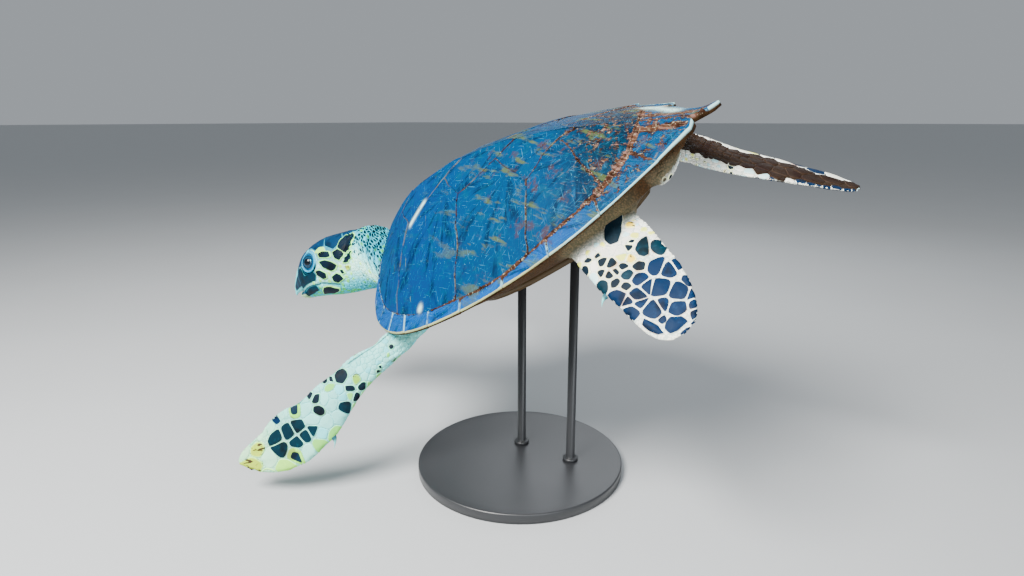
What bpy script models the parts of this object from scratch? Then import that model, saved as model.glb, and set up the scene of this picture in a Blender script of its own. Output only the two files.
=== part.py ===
"""Hawksbill sea turtle (Eretmochelys imbricata): a still, life-size display model on a plain stand.

Body coordinates are in shell lengths: x runs forward from the rear notch of the shell, y to the
turtle's left, and z up from the plane of the shell's rim. seat() turns them into metres, with the
turtle diving and banked to its left over the middle of the stand's base. World: +Z up, turtle facing -Y.
"""

import math

import bmesh
import bpy
import numpy as np
from mathutils import Matrix

# ---- Driving dimensions -------------------------------------------------------------------
SHELL_LENGTH = 0.65  # metres, rear notch to nuchal, in a straight line
NOSE_DOWN = 26.2  # degrees
BANK_LEFT = 32.5  # degrees
GAP = 0.0003  # metres between pieces that touch
SCUTE_GAP = 0.0004  # metres, half of the seam between two plates
SCUTE_THICKNESS = 0.0045
TRUNK_CLEARANCE = 0.0009  # flat facets under curved plates need more than the gap
SCUTE_LIFT = 0.0022  # how far a plate's rear edge stands over the next plate
RIM_THICKNESS = 0.0045
UNDERSIDE_DROP = 0.0085  # the underside of the marginal plates, below the rim plane
DOME_HEIGHT = 0.191  # shell lengths, keel above the rim plane
ROOF_SHARE = 0.54  # 0 is a round cross section and 1 a straight roof
FRONT_RISE = 0.043  # the rim rises over the neck
BELLY_DEPTH = 0.122
PLASTRON_THICKNESS = 0.015
TRUNK_OVER_PLASTRON = 0.009
FLOOR_CLEARANCE = 0.05  # metres, lowest tip of a flipper over the floor
BASE_RADIUS = 0.19
BASE_THICKNESS = 0.018
BASE_BEVEL = 0.003
ROD_RADIUS = 0.008
BASE_SIDES = 45
ROD_STATIONS = (0.41, 0.60)  # where the two rods meet the plastron
BALANCE_POINT = (0.505, 0.0, 0.0)  # over the middle of the base

# Half width of the rim against x, then the dome's relative height along the keel.
RIM_HALF = [(-0.06, 0.05), (0.0, 0.075), (0.071, 0.12), (0.188, 0.231), (0.30, 0.308),
            (0.415, 0.357), (0.536, 0.385), (0.645, 0.392), (0.74, 0.381), (0.825, 0.349),
            (0.892, 0.303), (0.942, 0.238), (0.978, 0.165), (1.0, 0.10), (1.02, 0.08)]
KEEL = [(-0.06, 0.0), (0.0, 0.02), (0.03, 0.09), (0.1, 0.25), (0.2, 0.48), (0.3, 0.69),
        (0.4, 0.85), (0.5, 0.95), (0.6, 1.0), (0.7, 0.99), (0.8, 0.9), (0.9, 0.66),
        (0.95, 0.42), (0.98, 0.2), (1.0, 0.06), (1.02, 0.0)]

# Ends of the seams between the marginal plates, on the rim and on the inner (costal) side.
RIM_ENDS = [(1.0, 0.088), (0.978, 0.165), (0.942, 0.238), (0.892, 0.303), (0.825, 0.349),
            (0.74, 0.381), (0.645, 0.392), (0.536, 0.385), (0.415, 0.357), (0.30, 0.308),
            (0.188, 0.231), (0.071, 0.12)]
INNER_ENDS = [(0.945, 0.075), (0.915, 0.165), (0.885, 0.228), (0.845, 0.283), (0.79, 0.321),
              (0.73, 0.347), (0.635, 0.366), (0.53, 0.362), (0.41, 0.337), (0.303, 0.275),
              (0.197, 0.195), (0.125, 0.092)]
NUCHAL_FRONT = 1.008
LAST_REAR_INNER = 0.105
REAR_NOTCH = 0.012
TAIL_PLATE_LEFT = [(0.023, 0.074), (0.002, 0.048), (0.0, 0.02)]
TAIL_PLATE_RIGHT = [(0.03, -0.07), (-0.01, -0.056), (-0.05, -0.034), (-0.03, -0.012)]
TAIL_PLATE_DROOP = 0.014  # the right one bends down at its outer side

# Seams of the vertebral and costal plates: where two vertebrals meet at the side and on the keel,
# the outermost corner of each vertebral, and the index along the inner seam where each costal ends.
VERTEBRAL_SIDE = [(0.80, 0.05), (0.605, 0.045), (0.435, 0.045), (0.277, 0.03)]
VERTEBRAL_KEEL = [0.755, 0.55, 0.388, 0.243]
VERTEBRAL_CORNER = [(0.735, 0.122), (0.541, 0.118), (0.347, 0.134)]
COSTAL_BEND = [(0.762, 0.235), (0.533, 0.25), (0.343, 0.218)]
COSTAL_ENDS = [0.45, 4.4, 6.86, 8.6, 10.22]
MANY_RINGS = (1.0, 0.66, 0.33)  # nested outlines that round a large plate
FEW_RINGS = (1.0, 0.5)
SERRATION = [0, 0, 0, 0, 0, 0.001, 0.002, 0.003, 0.005, 0.006, 0.006]

# Cross sections of the trunk: under the tail plates (x, half width), then under the dome (x).
RUMP = [(0.05, 0.035), (0.09, 0.07), (0.122, 0.085)]
RUMP_TOP = -0.024
TRUNK_STATIONS = [0.15, 0.19, 0.245, 0.31, 0.39, 0.48, 0.57, 0.66, 0.74, 0.80, 0.85, 0.89, 0.925]
TRUNK_INSET = 0.007
TRUNK_UPPER = [-1, -0.72, -0.36, 0, 0.36, 0.72, 1]  # across, in half widths
TRUNK_LOWER = [0.97, 0.85, 0.6, 0.25, -0.25, -0.6, -0.85, -0.97]
PLASTRON_HALF = [(0.80, 0.0), (0.79, 0.08), (0.73, 0.15), (0.66, 0.20), (0.56, 0.235), (0.46, 0.235),
                 (0.36, 0.20), (0.26, 0.135), (0.19, 0.08), (0.157, 0.045), (0.168, 0.0)]
NUCHAL_REAR = 0.947

# Head, in head lengths from the back of the skull: x, half width, top, bottom.
HEAD_LENGTH = 0.27  # shell lengths
HEAD_ORIGIN = (1.145, -0.002, 0.103)
HEAD_FORWARD = (0.969, 0.098, 0.225)
HEAD_UP = (-0.123, -0.60, 0.79)
HEAD = [(-0.14, 0.235, 0.275, -0.415), (0.0, 0.262, 0.298, -0.42), (0.28, 0.272, 0.30, -0.40),
        (0.45, 0.24, 0.275, -0.375), (0.60, 0.20, 0.225, -0.36), (0.74, 0.152, 0.14, -0.345)]
BEAK_UPPER = [(0.74, 0.15, 0.138, -0.235), (0.83, 0.108, 0.06, -0.235), (0.91, 0.068, -0.035, -0.24),
              (0.97, 0.035, -0.13, -0.25), (1.0, 0.012, -0.20, -0.275)]
BEAK_LOWER = [(0.74, 0.145, -0.241, -0.348), (0.80, 0.105, -0.241, -0.345), (0.86, 0.062, -0.246, -0.33),
              (0.905, 0.026, -0.255, -0.305)]
EYE = (0.51, 0.157, 0.045)
EYE_RADIUS = 0.094
NECK_SIDES = 15
NECK_SPINE = [(0.9255, 0.0, -0.034), (1.008, 0.0, -0.038), (1.054, -0.012, 0.05)]
# Half width, then how far it reaches above and below the spine, at each spine point.
NECK_HALF = [(0.0, 0.124, 0.052, 0.075), (1.0, 0.112, 0.06, 0.075), (2.0, 0.102, 0.10, 0.10),
             (3.0, 0.0635, 0.0931, 0.0931)]

# Flippers: spine points, the chord's leading direction at root and tip, and the blade's outline
# as (share of length, ahead of the spine, behind it, thickness).
FRONT_SPINE = [(0.79, 0.19, -0.065), (0.87, 0.335, -0.05), (0.965, 0.441, -0.035),
               (1.067, 0.548, -0.046), (1.155, 0.614, -0.044), (1.257, 0.671, -0.008)]
FRONT_CHORD = [(-0.2, 0.30, -0.92), (-0.2, 0.355, -0.91)]
FRONT_BLADE = [(0.0, 0.03, 0.034, 0.055), (0.25, 0.038, 0.038, 0.052), (0.4, 0.05, 0.046, 0.046),
               (0.6, 0.072, 0.066, 0.034), (0.72, 0.078, 0.074, 0.026), (0.84, 0.062, 0.06, 0.02),
               (0.93, 0.04, 0.04, 0.014), (0.98, 0.02, 0.022, 0.009), (1.0, 0.006, 0.006, 0.006)]
REAR_BLADE = [(0.0, 0.07, 0.055, 0.055), (0.25, 0.088, 0.082, 0.046), (0.5, 0.078, 0.088, 0.032),
              (0.75, 0.062, 0.084, 0.022), (0.9, 0.046, 0.07, 0.015), (0.97, 0.028, 0.052, 0.01),
              (1.0, 0.008, 0.02, 0.006)]
REAR_LEFT_SPINE = [(0.25, 0.12, -0.062), (0.226, 0.20, -0.07), (0.176, 0.288, -0.102),
                   (0.134, 0.359, -0.137), (0.088, 0.45, -0.19)]
REAR_LEFT_CHORD = [(0.86, 0.48, 0.15), (0.86, 0.48, 0.15)]
REAR_RIGHT_SPINE = [(0.15, -0.126, -0.068), (0.088, -0.122, -0.13), (0.013, -0.116, -0.203),
                    (-0.077, -0.118, -0.285), (-0.189, -0.111, -0.388)]
REAR_RIGHT_CHORD = [(0.02, -0.95, -0.15), (0.15, -0.93, -0.27)]
TAIL = [((0.113, -0.03, -0.052), 0.034), ((0.102, 0.008, -0.055), 0.034), ((0.105, 0.046, -0.06), 0.03),
        ((0.108, 0.068, -0.066), 0.021), ((0.11, 0.08, -0.071), 0.009)]
FIN_SIDES = 12
FIN_RINGS = 15
FRONT_CLAW = (0.58, 0.026, 0.0075)  # share of the flipper's length, claw length, root radius
REAR_CLAW = (0.62, 0.022, 0.007)

# ---- Colours -------------------------------------------------------------------------------
SKIN = (0.72, 0.74, 0.52)
SHELL = (0.05, 0.20, 0.28)
RIM = (0.10, 0.34, 0.42)
PLASTRON = (0.80, 0.72, 0.45)
HORN = (0.10, 0.20, 0.20)
EYE_COLOUR = (0.02, 0.03, 0.04)
STAND = (0.12, 0.12, 0.13)


# ---- Curves and frames ---------------------------------------------------------------------
def curve(knots, at):
    """Smooth curve through (position, value) knots, with no overshoot, read at one or many places."""
    x, y = np.array(knots, float).T
    step = np.diff(x)
    rise = np.diff(y) / step
    slope = np.concatenate([rise[:1], np.zeros(len(x) - 2), rise[-1:]])
    for i in range(1, len(x) - 1):
        if rise[i - 1] * rise[i] > 0:
            slope[i] = 2 * rise[i - 1] * rise[i] / (rise[i - 1] + rise[i])
    at = np.clip(at, x[0], x[-1])
    i = np.clip(np.searchsorted(x, at) - 1, 0, len(step) - 1)
    s = (at - x[i]) / step[i]
    start = y[i] * (1 + 2 * s) * (1 - s) ** 2 + slope[i] * step[i] * s * (1 - s) ** 2
    end = y[i + 1] * s * s * (3 - 2 * s) + slope[i + 1] * step[i] * s * s * (s - 1)
    return start + end


def path(points, at):
    """Smooth curve through points in the plane or in space, by point number."""
    points = np.array(points, float)
    number = np.arange(len(points))
    return np.stack([curve(list(zip(number, points[:, k])), at) for k in range(points.shape[1])], -1)


def unit(vector):
    vector = np.array(vector, float)
    return vector / np.linalg.norm(vector)


def body_matrix():
    """Body axes to world axes: facing -Y, then banked to the left, then nose down."""
    facing = Matrix(((0, 1, 0), (-1, 0, 0), (0, 0, 1))).to_4x4()
    bank = Matrix.Rotation(math.radians(BANK_LEFT), 4, "Y")
    dive = Matrix.Rotation(math.radians(NOSE_DOWN), 4, "X")
    return np.array(dive @ bank @ facing)[:3, :3]


TURN = body_matrix()


def level(points):
    """Body points in metres on the world axes, before they are lifted over the base."""
    return (np.array(points, float) - BALANCE_POINT) @ TURN.T * SHELL_LENGTH


# ---- Shell surfaces ------------------------------------------------------------------------
def rim_height(x):
    return FRONT_RISE * np.clip((x - 0.8) / 0.2, 0, 1) ** 2


def dome(x, y):
    """Top of the shell, in shell lengths."""
    across = np.clip(np.abs(y) / curve(RIM_HALF, x), 0, 1)
    section = (1 - ROOF_SHARE) * (1 - across**2) + ROOF_SHARE * (1 - across)
    return rim_height(x) + DOME_HEIGHT * curve(KEEL, x) * section


def belly(x, y):
    """Underside of the body: flat in the middle, rising to the rim plane at the sides."""
    along = np.clip(np.abs(x - 0.515) / 0.47, 0, 1)
    depth = BELLY_DEPTH * (1 - 0.55 * np.clip((along - 0.4) / 0.6, 0, 1) ** 2)
    across = np.clip(np.abs(y) / (curve(RIM_HALF, x) * 0.93), 0, 1)
    return -depth * (1 - 0.9 * across**4)


def inner(at):
    return path(INNER_ENDS, at)


def inner_half(x):
    ends = sorted(INNER_ENDS)
    return curve([(LAST_REAR_INNER, 0.03)] + ends, x)


def seam(start, end, per_plate=3):
    """Points along the inner seam between two plate numbers."""
    first = math.floor(start * per_plate) + 1
    last = math.ceil(end * per_plate) - 1
    stops = [start] + [k / per_plate for k in range(first, last + 1)] + [end]
    return [tuple(p) for p in inner(np.array(stops))]


def mirrored(points):
    return [(x, -y) for x, y in points]


def costal_outline(number):
    """Corners of a left costal plate, in order, starting at the front of the inner seam."""
    lateral = seam(COSTAL_ENDS[number - 1], COSTAL_ENDS[number])
    medial = []
    if number < 4:
        medial += [COSTAL_BEND[number - 1], VERTEBRAL_CORNER[number - 1]]
    medial.append(VERTEBRAL_SIDE[number - 1])
    if number > 1:
        medial += [VERTEBRAL_CORNER[number - 2], COSTAL_BEND[number - 2]]
    return lateral + medial


def vertebral_outline(number):
    """Left half of a vertebral plate from front to rear, then the same on the right."""
    if number == 1:
        half = [(NUCHAL_REAR, 0.0)] + seam(0, COSTAL_ENDS[0])
    else:
        half = [(VERTEBRAL_KEEL[number - 2], 0.0), VERTEBRAL_SIDE[number - 2]]
    if number < 5:
        if number > 1:
            half.append(VERTEBRAL_CORNER[number - 2])
        half += [VERTEBRAL_SIDE[number - 1], (VERTEBRAL_KEEL[number - 1], 0.0)]
    else:
        half += seam(COSTAL_ENDS[4], 11) + [(LAST_REAR_INNER, 0.0)]
    return half + mirrored(half[-2:0:-1])


def marginal_outline(number):
    """Outline of a left marginal plate: along the rim, then back along the inner seam."""
    if number == 12:
        return [RIM_ENDS[11]] + TAIL_PLATE_LEFT + [(REAR_NOTCH, 0.0), (LAST_REAR_INNER, 0.0), INNER_ENDS[11]]
    rim = []
    for share in (0, 1 / 3, 2 / 3, 1):
        place = path(RIM_ENDS, number - 1 + share)
        out = unit(place - inner(number - 1 + share))
        rim.append(tuple(place + out * SERRATION[number - 1] * share**2))
    return rim + seam(number - 1, number)[::-1]


def tail_droop(x, y):
    """How far the right supracaudal plate bends down at its outer side."""
    return TAIL_PLATE_DROOP * np.clip((0.1 - x) / 0.1, 0, 1) * np.clip(-y / 0.05, 0, 1)


def right_tail_plate():
    return [(RIM_ENDS[11][0], -RIM_ENDS[11][1])] + TAIL_PLATE_RIGHT + [
        (REAR_NOTCH, 0.0), (LAST_REAR_INNER, 0.0), (INNER_ENDS[11][0], -INNER_ENDS[11][1])]


# ---- Mesh making ---------------------------------------------------------------------------
def material(name, colour, roughness, metallic=0.0):
    made = bpy.data.materials.new(name)
    made.use_nodes = True
    shader = made.node_tree.nodes["Principled BSDF"]
    shader.inputs["Base Color"].default_value = (*colour, 1)
    shader.inputs["Roughness"].default_value = roughness
    shader.inputs["Metallic"].default_value = metallic
    return made


def add(name, points, faces, finish):
    """A new object from points in metres, with its faces turned outwards."""
    mesh = bpy.data.meshes.new(name)
    mesh.from_pydata([tuple(p) for p in points], [], [tuple(f) for f in faces])
    work = bmesh.new()
    work.from_mesh(mesh)
    bmesh.ops.triangulate(work, faces=work.faces)
    bmesh.ops.recalc_face_normals(work, faces=work.faces)
    work.to_mesh(mesh)
    work.free()
    mesh.shade_smooth()
    mesh.set_sharp_from_angle(angle=math.radians(40))
    mesh.materials.append(finish)
    made = bpy.data.objects.new(name, mesh)
    bpy.context.scene.collection.objects.link(made)
    return made


def loft(rings):
    """Points and faces of a closed body through rings of equal count, with both ends filled."""
    count = len(rings[0])
    faces = [tuple(range(count))[::-1], tuple(range((len(rings) - 1) * count, len(rings) * count))]
    for r in range(len(rings) - 1):
        for k in range(count):
            after = (k + 1) % count
            faces.append((r * count + k, r * count + after, (r + 1) * count + after, (r + 1) * count + k))
    return np.concatenate(rings), faces


def shrink(outline, by):
    """The outline moved inwards by a width, mitred at its corners."""
    points = np.array(outline, float)
    area = np.sum(points[:, 0] * np.roll(points[:, 1], -1) - np.roll(points[:, 0], -1) * points[:, 1])
    side = np.roll(points, -1, 0) - points
    side /= np.linalg.norm(side, axis=1, keepdims=True)
    normal = np.stack([-side[:, 1], side[:, 0]], 1) * (1 if area > 0 else -1)
    both = normal + np.roll(normal, 1, 0)
    mitre = both / np.maximum(np.sum(both * np.roll(normal, 1, 0), axis=1, keepdims=True), 0.35)
    return points + mitre * by


def finer(outline, longest=0.055):
    """The outline with its long sides divided."""
    points = []
    for a, b in zip(outline, outline[1:] + outline[:1]):
        a, b = np.array(a), np.array(b)
        pieces = max(1, math.ceil(np.linalg.norm(b - a) / longest))
        points += [tuple(a + (b - a) * k / pieces) for k in range(pieces)]
    return points


def plate(name, outline, finish, top, bottom, rings=MANY_RINGS, ridge=False):
    """A shell plate over its outline in plan: nested rings around its centre, at two heights."""
    edge = shrink(finer(outline), SCUTE_GAP / SHELL_LENGTH)
    centre = edge.mean(0)
    if ridge:
        centre = np.array([(edge[:, 0].max() + edge[:, 0].min()) / 2, 0.0])
    plan = np.concatenate([centre + (edge - centre) * r for r in rings] + [centre[None]])
    count = len(edge)
    last = len(plan) - 1
    rear = np.clip((edge[:, 0].max() - plan[:, 0]) / np.ptp(edge[:, 0]), 0, 1)
    upper = np.column_stack([plan, top(plan[:, 0], plan[:, 1]) + rear**2 * SCUTE_LIFT / SHELL_LENGTH])
    lower = np.column_stack([plan, bottom(plan[:, 0], plan[:, 1])])
    faces = []
    for base in (0, len(plan)):
        for r in range(len(rings) - 1):
            for k in range(count):
                a, b = base + r * count + k, base + r * count + (k + 1) % count
                faces.append((a, b, b + count, a + count))
        for k in range(count):
            a = base + (len(rings) - 1) * count
            faces.append((a + k, a + (k + 1) % count, base + last))
    for k in range(count):
        after = (k + 1) % count
        faces.append((k, after, len(plan) + after, len(plan) + k))
    return add(name, level(np.concatenate([upper, lower])), faces, finish)


def under_scute(x, y):
    return dome(x, y) - SCUTE_THICKNESS / SHELL_LENGTH


def under_marginal(x, y):
    """Thin at the rim, and thicker towards the body, where the plate turns under."""
    inwards = np.clip((curve(RIM_HALF, x) - np.abs(y)) / 0.04, 0, 1)
    drop = RIM_THICKNESS + (UNDERSIDE_DROP - RIM_THICKNESS) * inwards
    return rim_height(x) - drop / SHELL_LENGTH


def cut_by(target, cutter):
    made = target.modifiers.new("part", "BOOLEAN")
    made.operation = "DIFFERENCE"
    made.solver = "EXACT"
    made.object = cutter


def grown(source, by):
    """A hidden copy of a body, larger all round by a gap, that parts its neighbour from it."""
    mesh = source.data.copy()
    work = bmesh.new()
    work.from_mesh(mesh)
    work.normal_update()
    moved = [v.co + v.normal * by * 1.2 for v in work.verts]
    for v, place in zip(work.verts, moved):
        v.co = place
    work.to_mesh(mesh)
    work.free()
    made = bpy.data.objects.new(source.name + "_cutter", mesh)
    bpy.context.scene.collection.objects.link(made)
    made.hide_render = True
    made.display_type = "WIRE"
    return made


# ---- Body ----------------------------------------------------------------------------------
def trunk_ring(x, half, top_at):
    """One cross section of the body under the shell."""
    floor = PLASTRON_THICKNESS + TRUNK_OVER_PLASTRON
    ring = [(x, half * k, top_at(x, half * k)) for k in TRUNK_UPPER]
    ring += [(x, half * k, float(belly(x, half * k)) + floor) for k in TRUNK_LOWER]
    return np.array(ring, float)


def add_trunk(finish):
    """The body: under the tail plates, under the dome, up to the root of the neck."""
    clear = (SCUTE_THICKNESS + TRUNK_CLEARANCE) / SHELL_LENGTH
    rings = [trunk_ring(x, half, lambda x, y: RUMP_TOP) for x, half in RUMP]
    for x in TRUNK_STATIONS:
        half = float(inner_half(x)) - TRUNK_INSET
        rings.append(trunk_ring(x, half, lambda x, y: float(dome(x, y)) - clear))
    points, faces = loft(rings)
    return add("trunk", level(points), faces, finish)


def oval(centre, side, up, half, above, below, count, power=2.3):
    """A ring round a centre, flatter than an ellipse at top and bottom."""
    angle = np.linspace(0, 2 * math.pi, count, endpoint=False)
    across = np.sign(np.cos(angle)) * np.abs(np.cos(angle)) ** (2 / power)
    rise = np.sign(np.sin(angle)) * np.abs(np.sin(angle)) ** (2 / power)
    height = np.where(rise > 0, above, below) * rise
    return centre + np.outer(across * half, side) + np.outer(height, up)


def head_frame():
    forward = unit(HEAD_FORWARD)
    side = unit(np.cross(HEAD_UP, forward))
    return np.array(HEAD_ORIGIN), forward, side, np.cross(forward, side)


def head_rings(stations, count=20, power=2.3, start=0.0):
    """Rings of the head or of a jaw, from stations along the head's own axis."""
    origin, forward, side, up = head_frame()
    rings = []
    for number, (x, half, top, bottom) in enumerate(stations):
        if number == 0:
            x += start
        centre = origin + (forward * x + up * (top + bottom) / 2) * HEAD_LENGTH
        tall = (top - bottom) / 2 * HEAD_LENGTH
        rings.append(oval(centre, side, up, half * HEAD_LENGTH, tall, tall, count, power))
    return rings


def add_head(skin, horn, eye):
    gap = GAP / SHELL_LENGTH / HEAD_LENGTH
    stations = [tuple(float(curve([(s[0], s[k]) for s in HEAD], x)) for k in range(4))
                for x in np.linspace(HEAD[0][0], HEAD[-1][0], 11)]
    head = add("head", level(loft(head_rings(stations))[0]), loft(head_rings(stations))[1], skin)
    for name, rows in (("beak_upper", BEAK_UPPER), ("beak_lower", BEAK_LOWER)):
        points, faces = loft(head_rings(rows, 14, 2.1, gap))
        add(name, level(points), faces, horn)
    origin, forward, side, up = head_frame()
    for name, sign in (("eye_left", 1), ("eye_right", -1)):
        centre = origin + (forward * EYE[0] + side * EYE[1] * sign + up * EYE[2]) * HEAD_LENGTH
        place = level(centre[None])[0]
        radius = EYE_RADIUS * HEAD_LENGTH * SHELL_LENGTH
        ball = add_ball(name, place, radius, eye)
        socket = add_ball(name + "_socket", place, radius + GAP * 1.3, eye)
        socket.hide_render = True
        socket.display_type = "WIRE"
        cut_by(head, socket)
        ball.data.shade_smooth()
    return head


def add_ball(name, place, radius, finish):
    mesh = bpy.data.meshes.new(name)
    work = bmesh.new()
    spot = Matrix.Translation(place)
    bmesh.ops.create_uvsphere(work, u_segments=14, v_segments=9, radius=radius, matrix=spot)
    work.to_mesh(mesh)
    work.free()
    mesh.shade_smooth()
    mesh.materials.append(finish)
    made = bpy.data.objects.new(name, mesh)
    bpy.context.scene.collection.objects.link(made)
    return made


def add_neck(skin):
    """The neck rises from the front of the trunk to the back of the skull."""
    origin, forward, side, up = head_frame()
    gap = GAP / SHELL_LENGTH
    skull = HEAD[0]
    end = origin + (forward * skull[0] + up * (skull[2] + skull[3]) / 2) * HEAD_LENGTH - forward * gap
    spine = NECK_SPINE + [tuple(end)]
    rings = []
    for share in np.linspace(0, 1, 8):
        centre = path(spine, share * 3)
        turn = share * share * (3 - 2 * share)
        across = unit((1 - turn) * np.array([0.0, 1.0, 0.0]) + turn * side)
        rise = (1 - turn) * np.array([0.0, 0.0, 1.0]) + turn * up
        rise = unit(rise - across * rise.dot(across))
        half, above, below = (float(curve([(s[0], s[k]) for s in NECK_HALF], share * 3)) for k in (1, 2, 3))
        rings.append(oval(centre, across, rise, half, above, below, NECK_SIDES, 2 + 0.3 * share))
    points, faces = loft(rings)
    return add("neck", level(points), faces, skin)


def fin_rings(spine, chord, blade):
    """Rings of a flipper: thick near its leading edge and thin behind."""
    number = len(spine) - 1
    rings = []
    for share in np.linspace(0, 1, FIN_RINGS) ** 0.92:
        centre = path(spine, share * number)
        before = path(spine, max(share - 0.01, 0) * number)
        ahead = unit(path(spine, min(share + 0.01, 1) * number) - before)
        lead = (1 - share) * unit(chord[0]) + share * unit(chord[1])
        lead = unit(lead - ahead * lead.dot(ahead))
        normal = np.cross(lead, ahead)
        front, back, thick = (float(curve([(b[0], b[k]) for b in blade], share)) for k in (1, 2, 3))
        angle = np.linspace(0, 2 * math.pi, FIN_SIDES, endpoint=False)
        along = np.cos(angle)
        reach = np.where(along > 0, front, back) * along
        depth = np.sin(angle) * thick / 2 * (0.72 + 0.28 * along)
        rings.append(centre + np.outer(reach, lead) + np.outer(depth, normal))
    return rings


def flip(points):
    return [(x, -y, z) for x, y, z in points]


def add_flippers(skin, horn, trunk_cutter):
    """Four flippers, each cut clear of the trunk, and each with a claw on its leading edge."""
    rows = [
        ("flipper_front_left", FRONT_SPINE, FRONT_CHORD, FRONT_BLADE, FRONT_CLAW, "claw_front_left"),
        ("flipper_front_right", flip(FRONT_SPINE), flip(FRONT_CHORD), FRONT_BLADE, FRONT_CLAW,
         "claw_front_right"),
        ("flipper_rear_left", REAR_LEFT_SPINE, REAR_LEFT_CHORD, REAR_BLADE, REAR_CLAW, "claw_rear_left"),
        ("flipper_rear_right", REAR_RIGHT_SPINE, REAR_RIGHT_CHORD, REAR_BLADE, REAR_CLAW, "claw_rear_right"),
    ]
    for name, spine, chord, blade, claw, claw_name in rows:
        points, faces = loft(fin_rings(spine, chord, blade))
        fin = add(name, level(points), faces, skin)
        add_claw(claw_name, spine, chord, blade, claw, horn)
        cut_by(fin, trunk_cutter)


def add_claw(name, spine, chord, blade, claw, horn):
    """A short curved cone that grows from the leading edge and points towards the tip."""
    share, length, radius = claw
    number = len(spine) - 1
    place = path(spine, share * number)
    ahead = unit(path(spine, (share + 0.02) * number) - place)
    lead = unit(np.array(chord[1]) - ahead * np.dot(unit(chord[1]), ahead) * np.linalg.norm(chord[1]))
    front = float(curve([(b[0], b[1]) for b in blade], share))
    normal = np.cross(lead, ahead)
    root = place + lead * (front + GAP * 4 / SHELL_LENGTH)
    rings = []
    for step in np.linspace(0, 1, 4):
        centre = root + (lead * (0.75 * step) + ahead * (0.25 * step + 0.75 * step**2) * 0.8) * length
        size = radius * (1 - 0.93 * step)
        rings.append(oval(centre, ahead, normal, size, size * 0.7, size * 0.7, 8, 2.0))
    points, faces = loft(rings)
    return add(name, level(points), faces, horn)


def add_tail(skin, trunk_cutter):
    rings = []
    for number, (centre, radius) in enumerate(TAIL):
        centre = np.array(centre)
        before = np.array(TAIL[max(number - 1, 0)][0])
        after = np.array(TAIL[min(number + 1, len(TAIL) - 1)][0])
        ahead = unit(after - before)
        side = unit(np.cross(ahead, (0, 0, 1)))
        rings.append(oval(centre, side, np.cross(side, ahead), radius, radius * 0.8, radius * 0.8, 10, 2.0))
    points, faces = loft(rings)
    tail = add("tail", level(points), faces, skin)
    cut_by(tail, trunk_cutter)


def add_shell(shell, rim, plastron):
    for number in range(1, 6):
        plate(f"vertebral_{number}", vertebral_outline(number), shell, dome, under_scute, ridge=True)
    half = [(NUCHAL_FRONT, 0.0), RIM_ENDS[0], INNER_ENDS[0], (NUCHAL_REAR, 0.0)]
    plate("nuchal", half + mirrored(half[-2:0:-1]), rim, dome, under_scute, FEW_RINGS, ridge=True)
    for side, turn in (("left", list), ("right", mirrored)):
        for number in range(1, 5):
            plate(f"costal_{side}_{number}", turn(costal_outline(number)), shell, dome, under_scute)
        for number in range(1, 13):
            name = f"marginal_{side}_{number}"
            if side == "right" and number == 12:
                plate(name, right_tail_plate(), rim, lambda x, y: dome(x, y) - tail_droop(x, y),
                      lambda x, y: under_marginal(x, y) - tail_droop(x, y), FEW_RINGS)
            else:
                plate(name, turn(marginal_outline(number)), rim, dome, under_marginal, FEW_RINGS)
    plate("plastron", PLASTRON_HALF + mirrored(PLASTRON_HALF[-2:0:-1]), plastron,
          lambda x, y: belly(x, y) + PLASTRON_THICKNESS, belly, FEW_RINGS, ridge=True)


def lift_over_base():
    """Metres from the balance point up to where the lowest flipper tip clears the floor."""
    lowest = min(level([spine[-1]])[0][2] for spine in (FRONT_SPINE, REAR_LEFT_SPINE))
    return FLOOR_CLEARANCE - lowest + 0.01


def add_stand(finish, height):
    """A flat round base and two upright rods, cut off along the plastron's flat underside."""
    profile = [(BASE_RADIUS, 0.0), (BASE_RADIUS, BASE_THICKNESS - BASE_BEVEL),
               (BASE_RADIUS - BASE_BEVEL, BASE_THICKNESS)]
    angles = [2 * math.pi * k / BASE_SIDES for k in range(BASE_SIDES)]
    turn = [(math.cos(angle), math.sin(angle)) for angle in angles]
    points, faces = loft([np.array([(r * c, r * s, z) for c, s in turn]) for r, z in profile])
    add("stand_base", points, faces, finish)
    down = TURN @ np.array([0.0, 0.0, -1.0])
    for name, station in zip(("stand_rod_front", "stand_rod_rear"), sorted(ROD_STATIONS, reverse=True)):
        seat = level([(station, 0.0, -BELLY_DEPTH)])[0] + np.array([0, 0, height])
        seat += down * GAP / abs(down[2])
        ring = [(seat[0] + ROD_RADIUS * c, seat[1] + ROD_RADIUS * s) for c, s in turn[::3]]
        foot = np.array([(x, y, BASE_THICKNESS + GAP) for x, y in ring])
        top = []
        for x, y in ring:
            fall = (down[0] * (x - seat[0]) + down[1] * (y - seat[1])) / down[2]
            top.append((x, y, seat[2] - fall))
        points, faces = loft([foot, np.array(top)])
        add(name, points, faces, finish)


def main():
    for thing in list(bpy.data.objects):
        bpy.data.objects.remove(thing)
    skin = material("skin", SKIN, 0.5)
    horn = material("horn", HORN, 0.35)
    trunk = add_trunk(skin)
    trunk_cutter = grown(trunk, GAP * 1.5)
    add_neck(skin)
    add_head(skin, horn, material("eye", EYE_COLOUR, 0.05))
    add_flippers(skin, horn, trunk_cutter)
    add_tail(skin, trunk_cutter)
    add_shell(material("shell", SHELL, 0.3), material("rim", RIM, 0.3), material("plastron", PLASTRON, 0.4))
    height = lift_over_base()
    for thing in bpy.data.objects:
        thing.location.z += height
    add_stand(material("stand", STAND, 0.4), height)


main()
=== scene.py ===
"""Looks of the hawksbill sea turtle display model: one scaled skin, horn plates, beak, eyes, claws, stand."""

import math

import bpy
import numpy as np
from mathutils import Matrix, Vector
from mathutils.bvhtree import BVHTree


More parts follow.
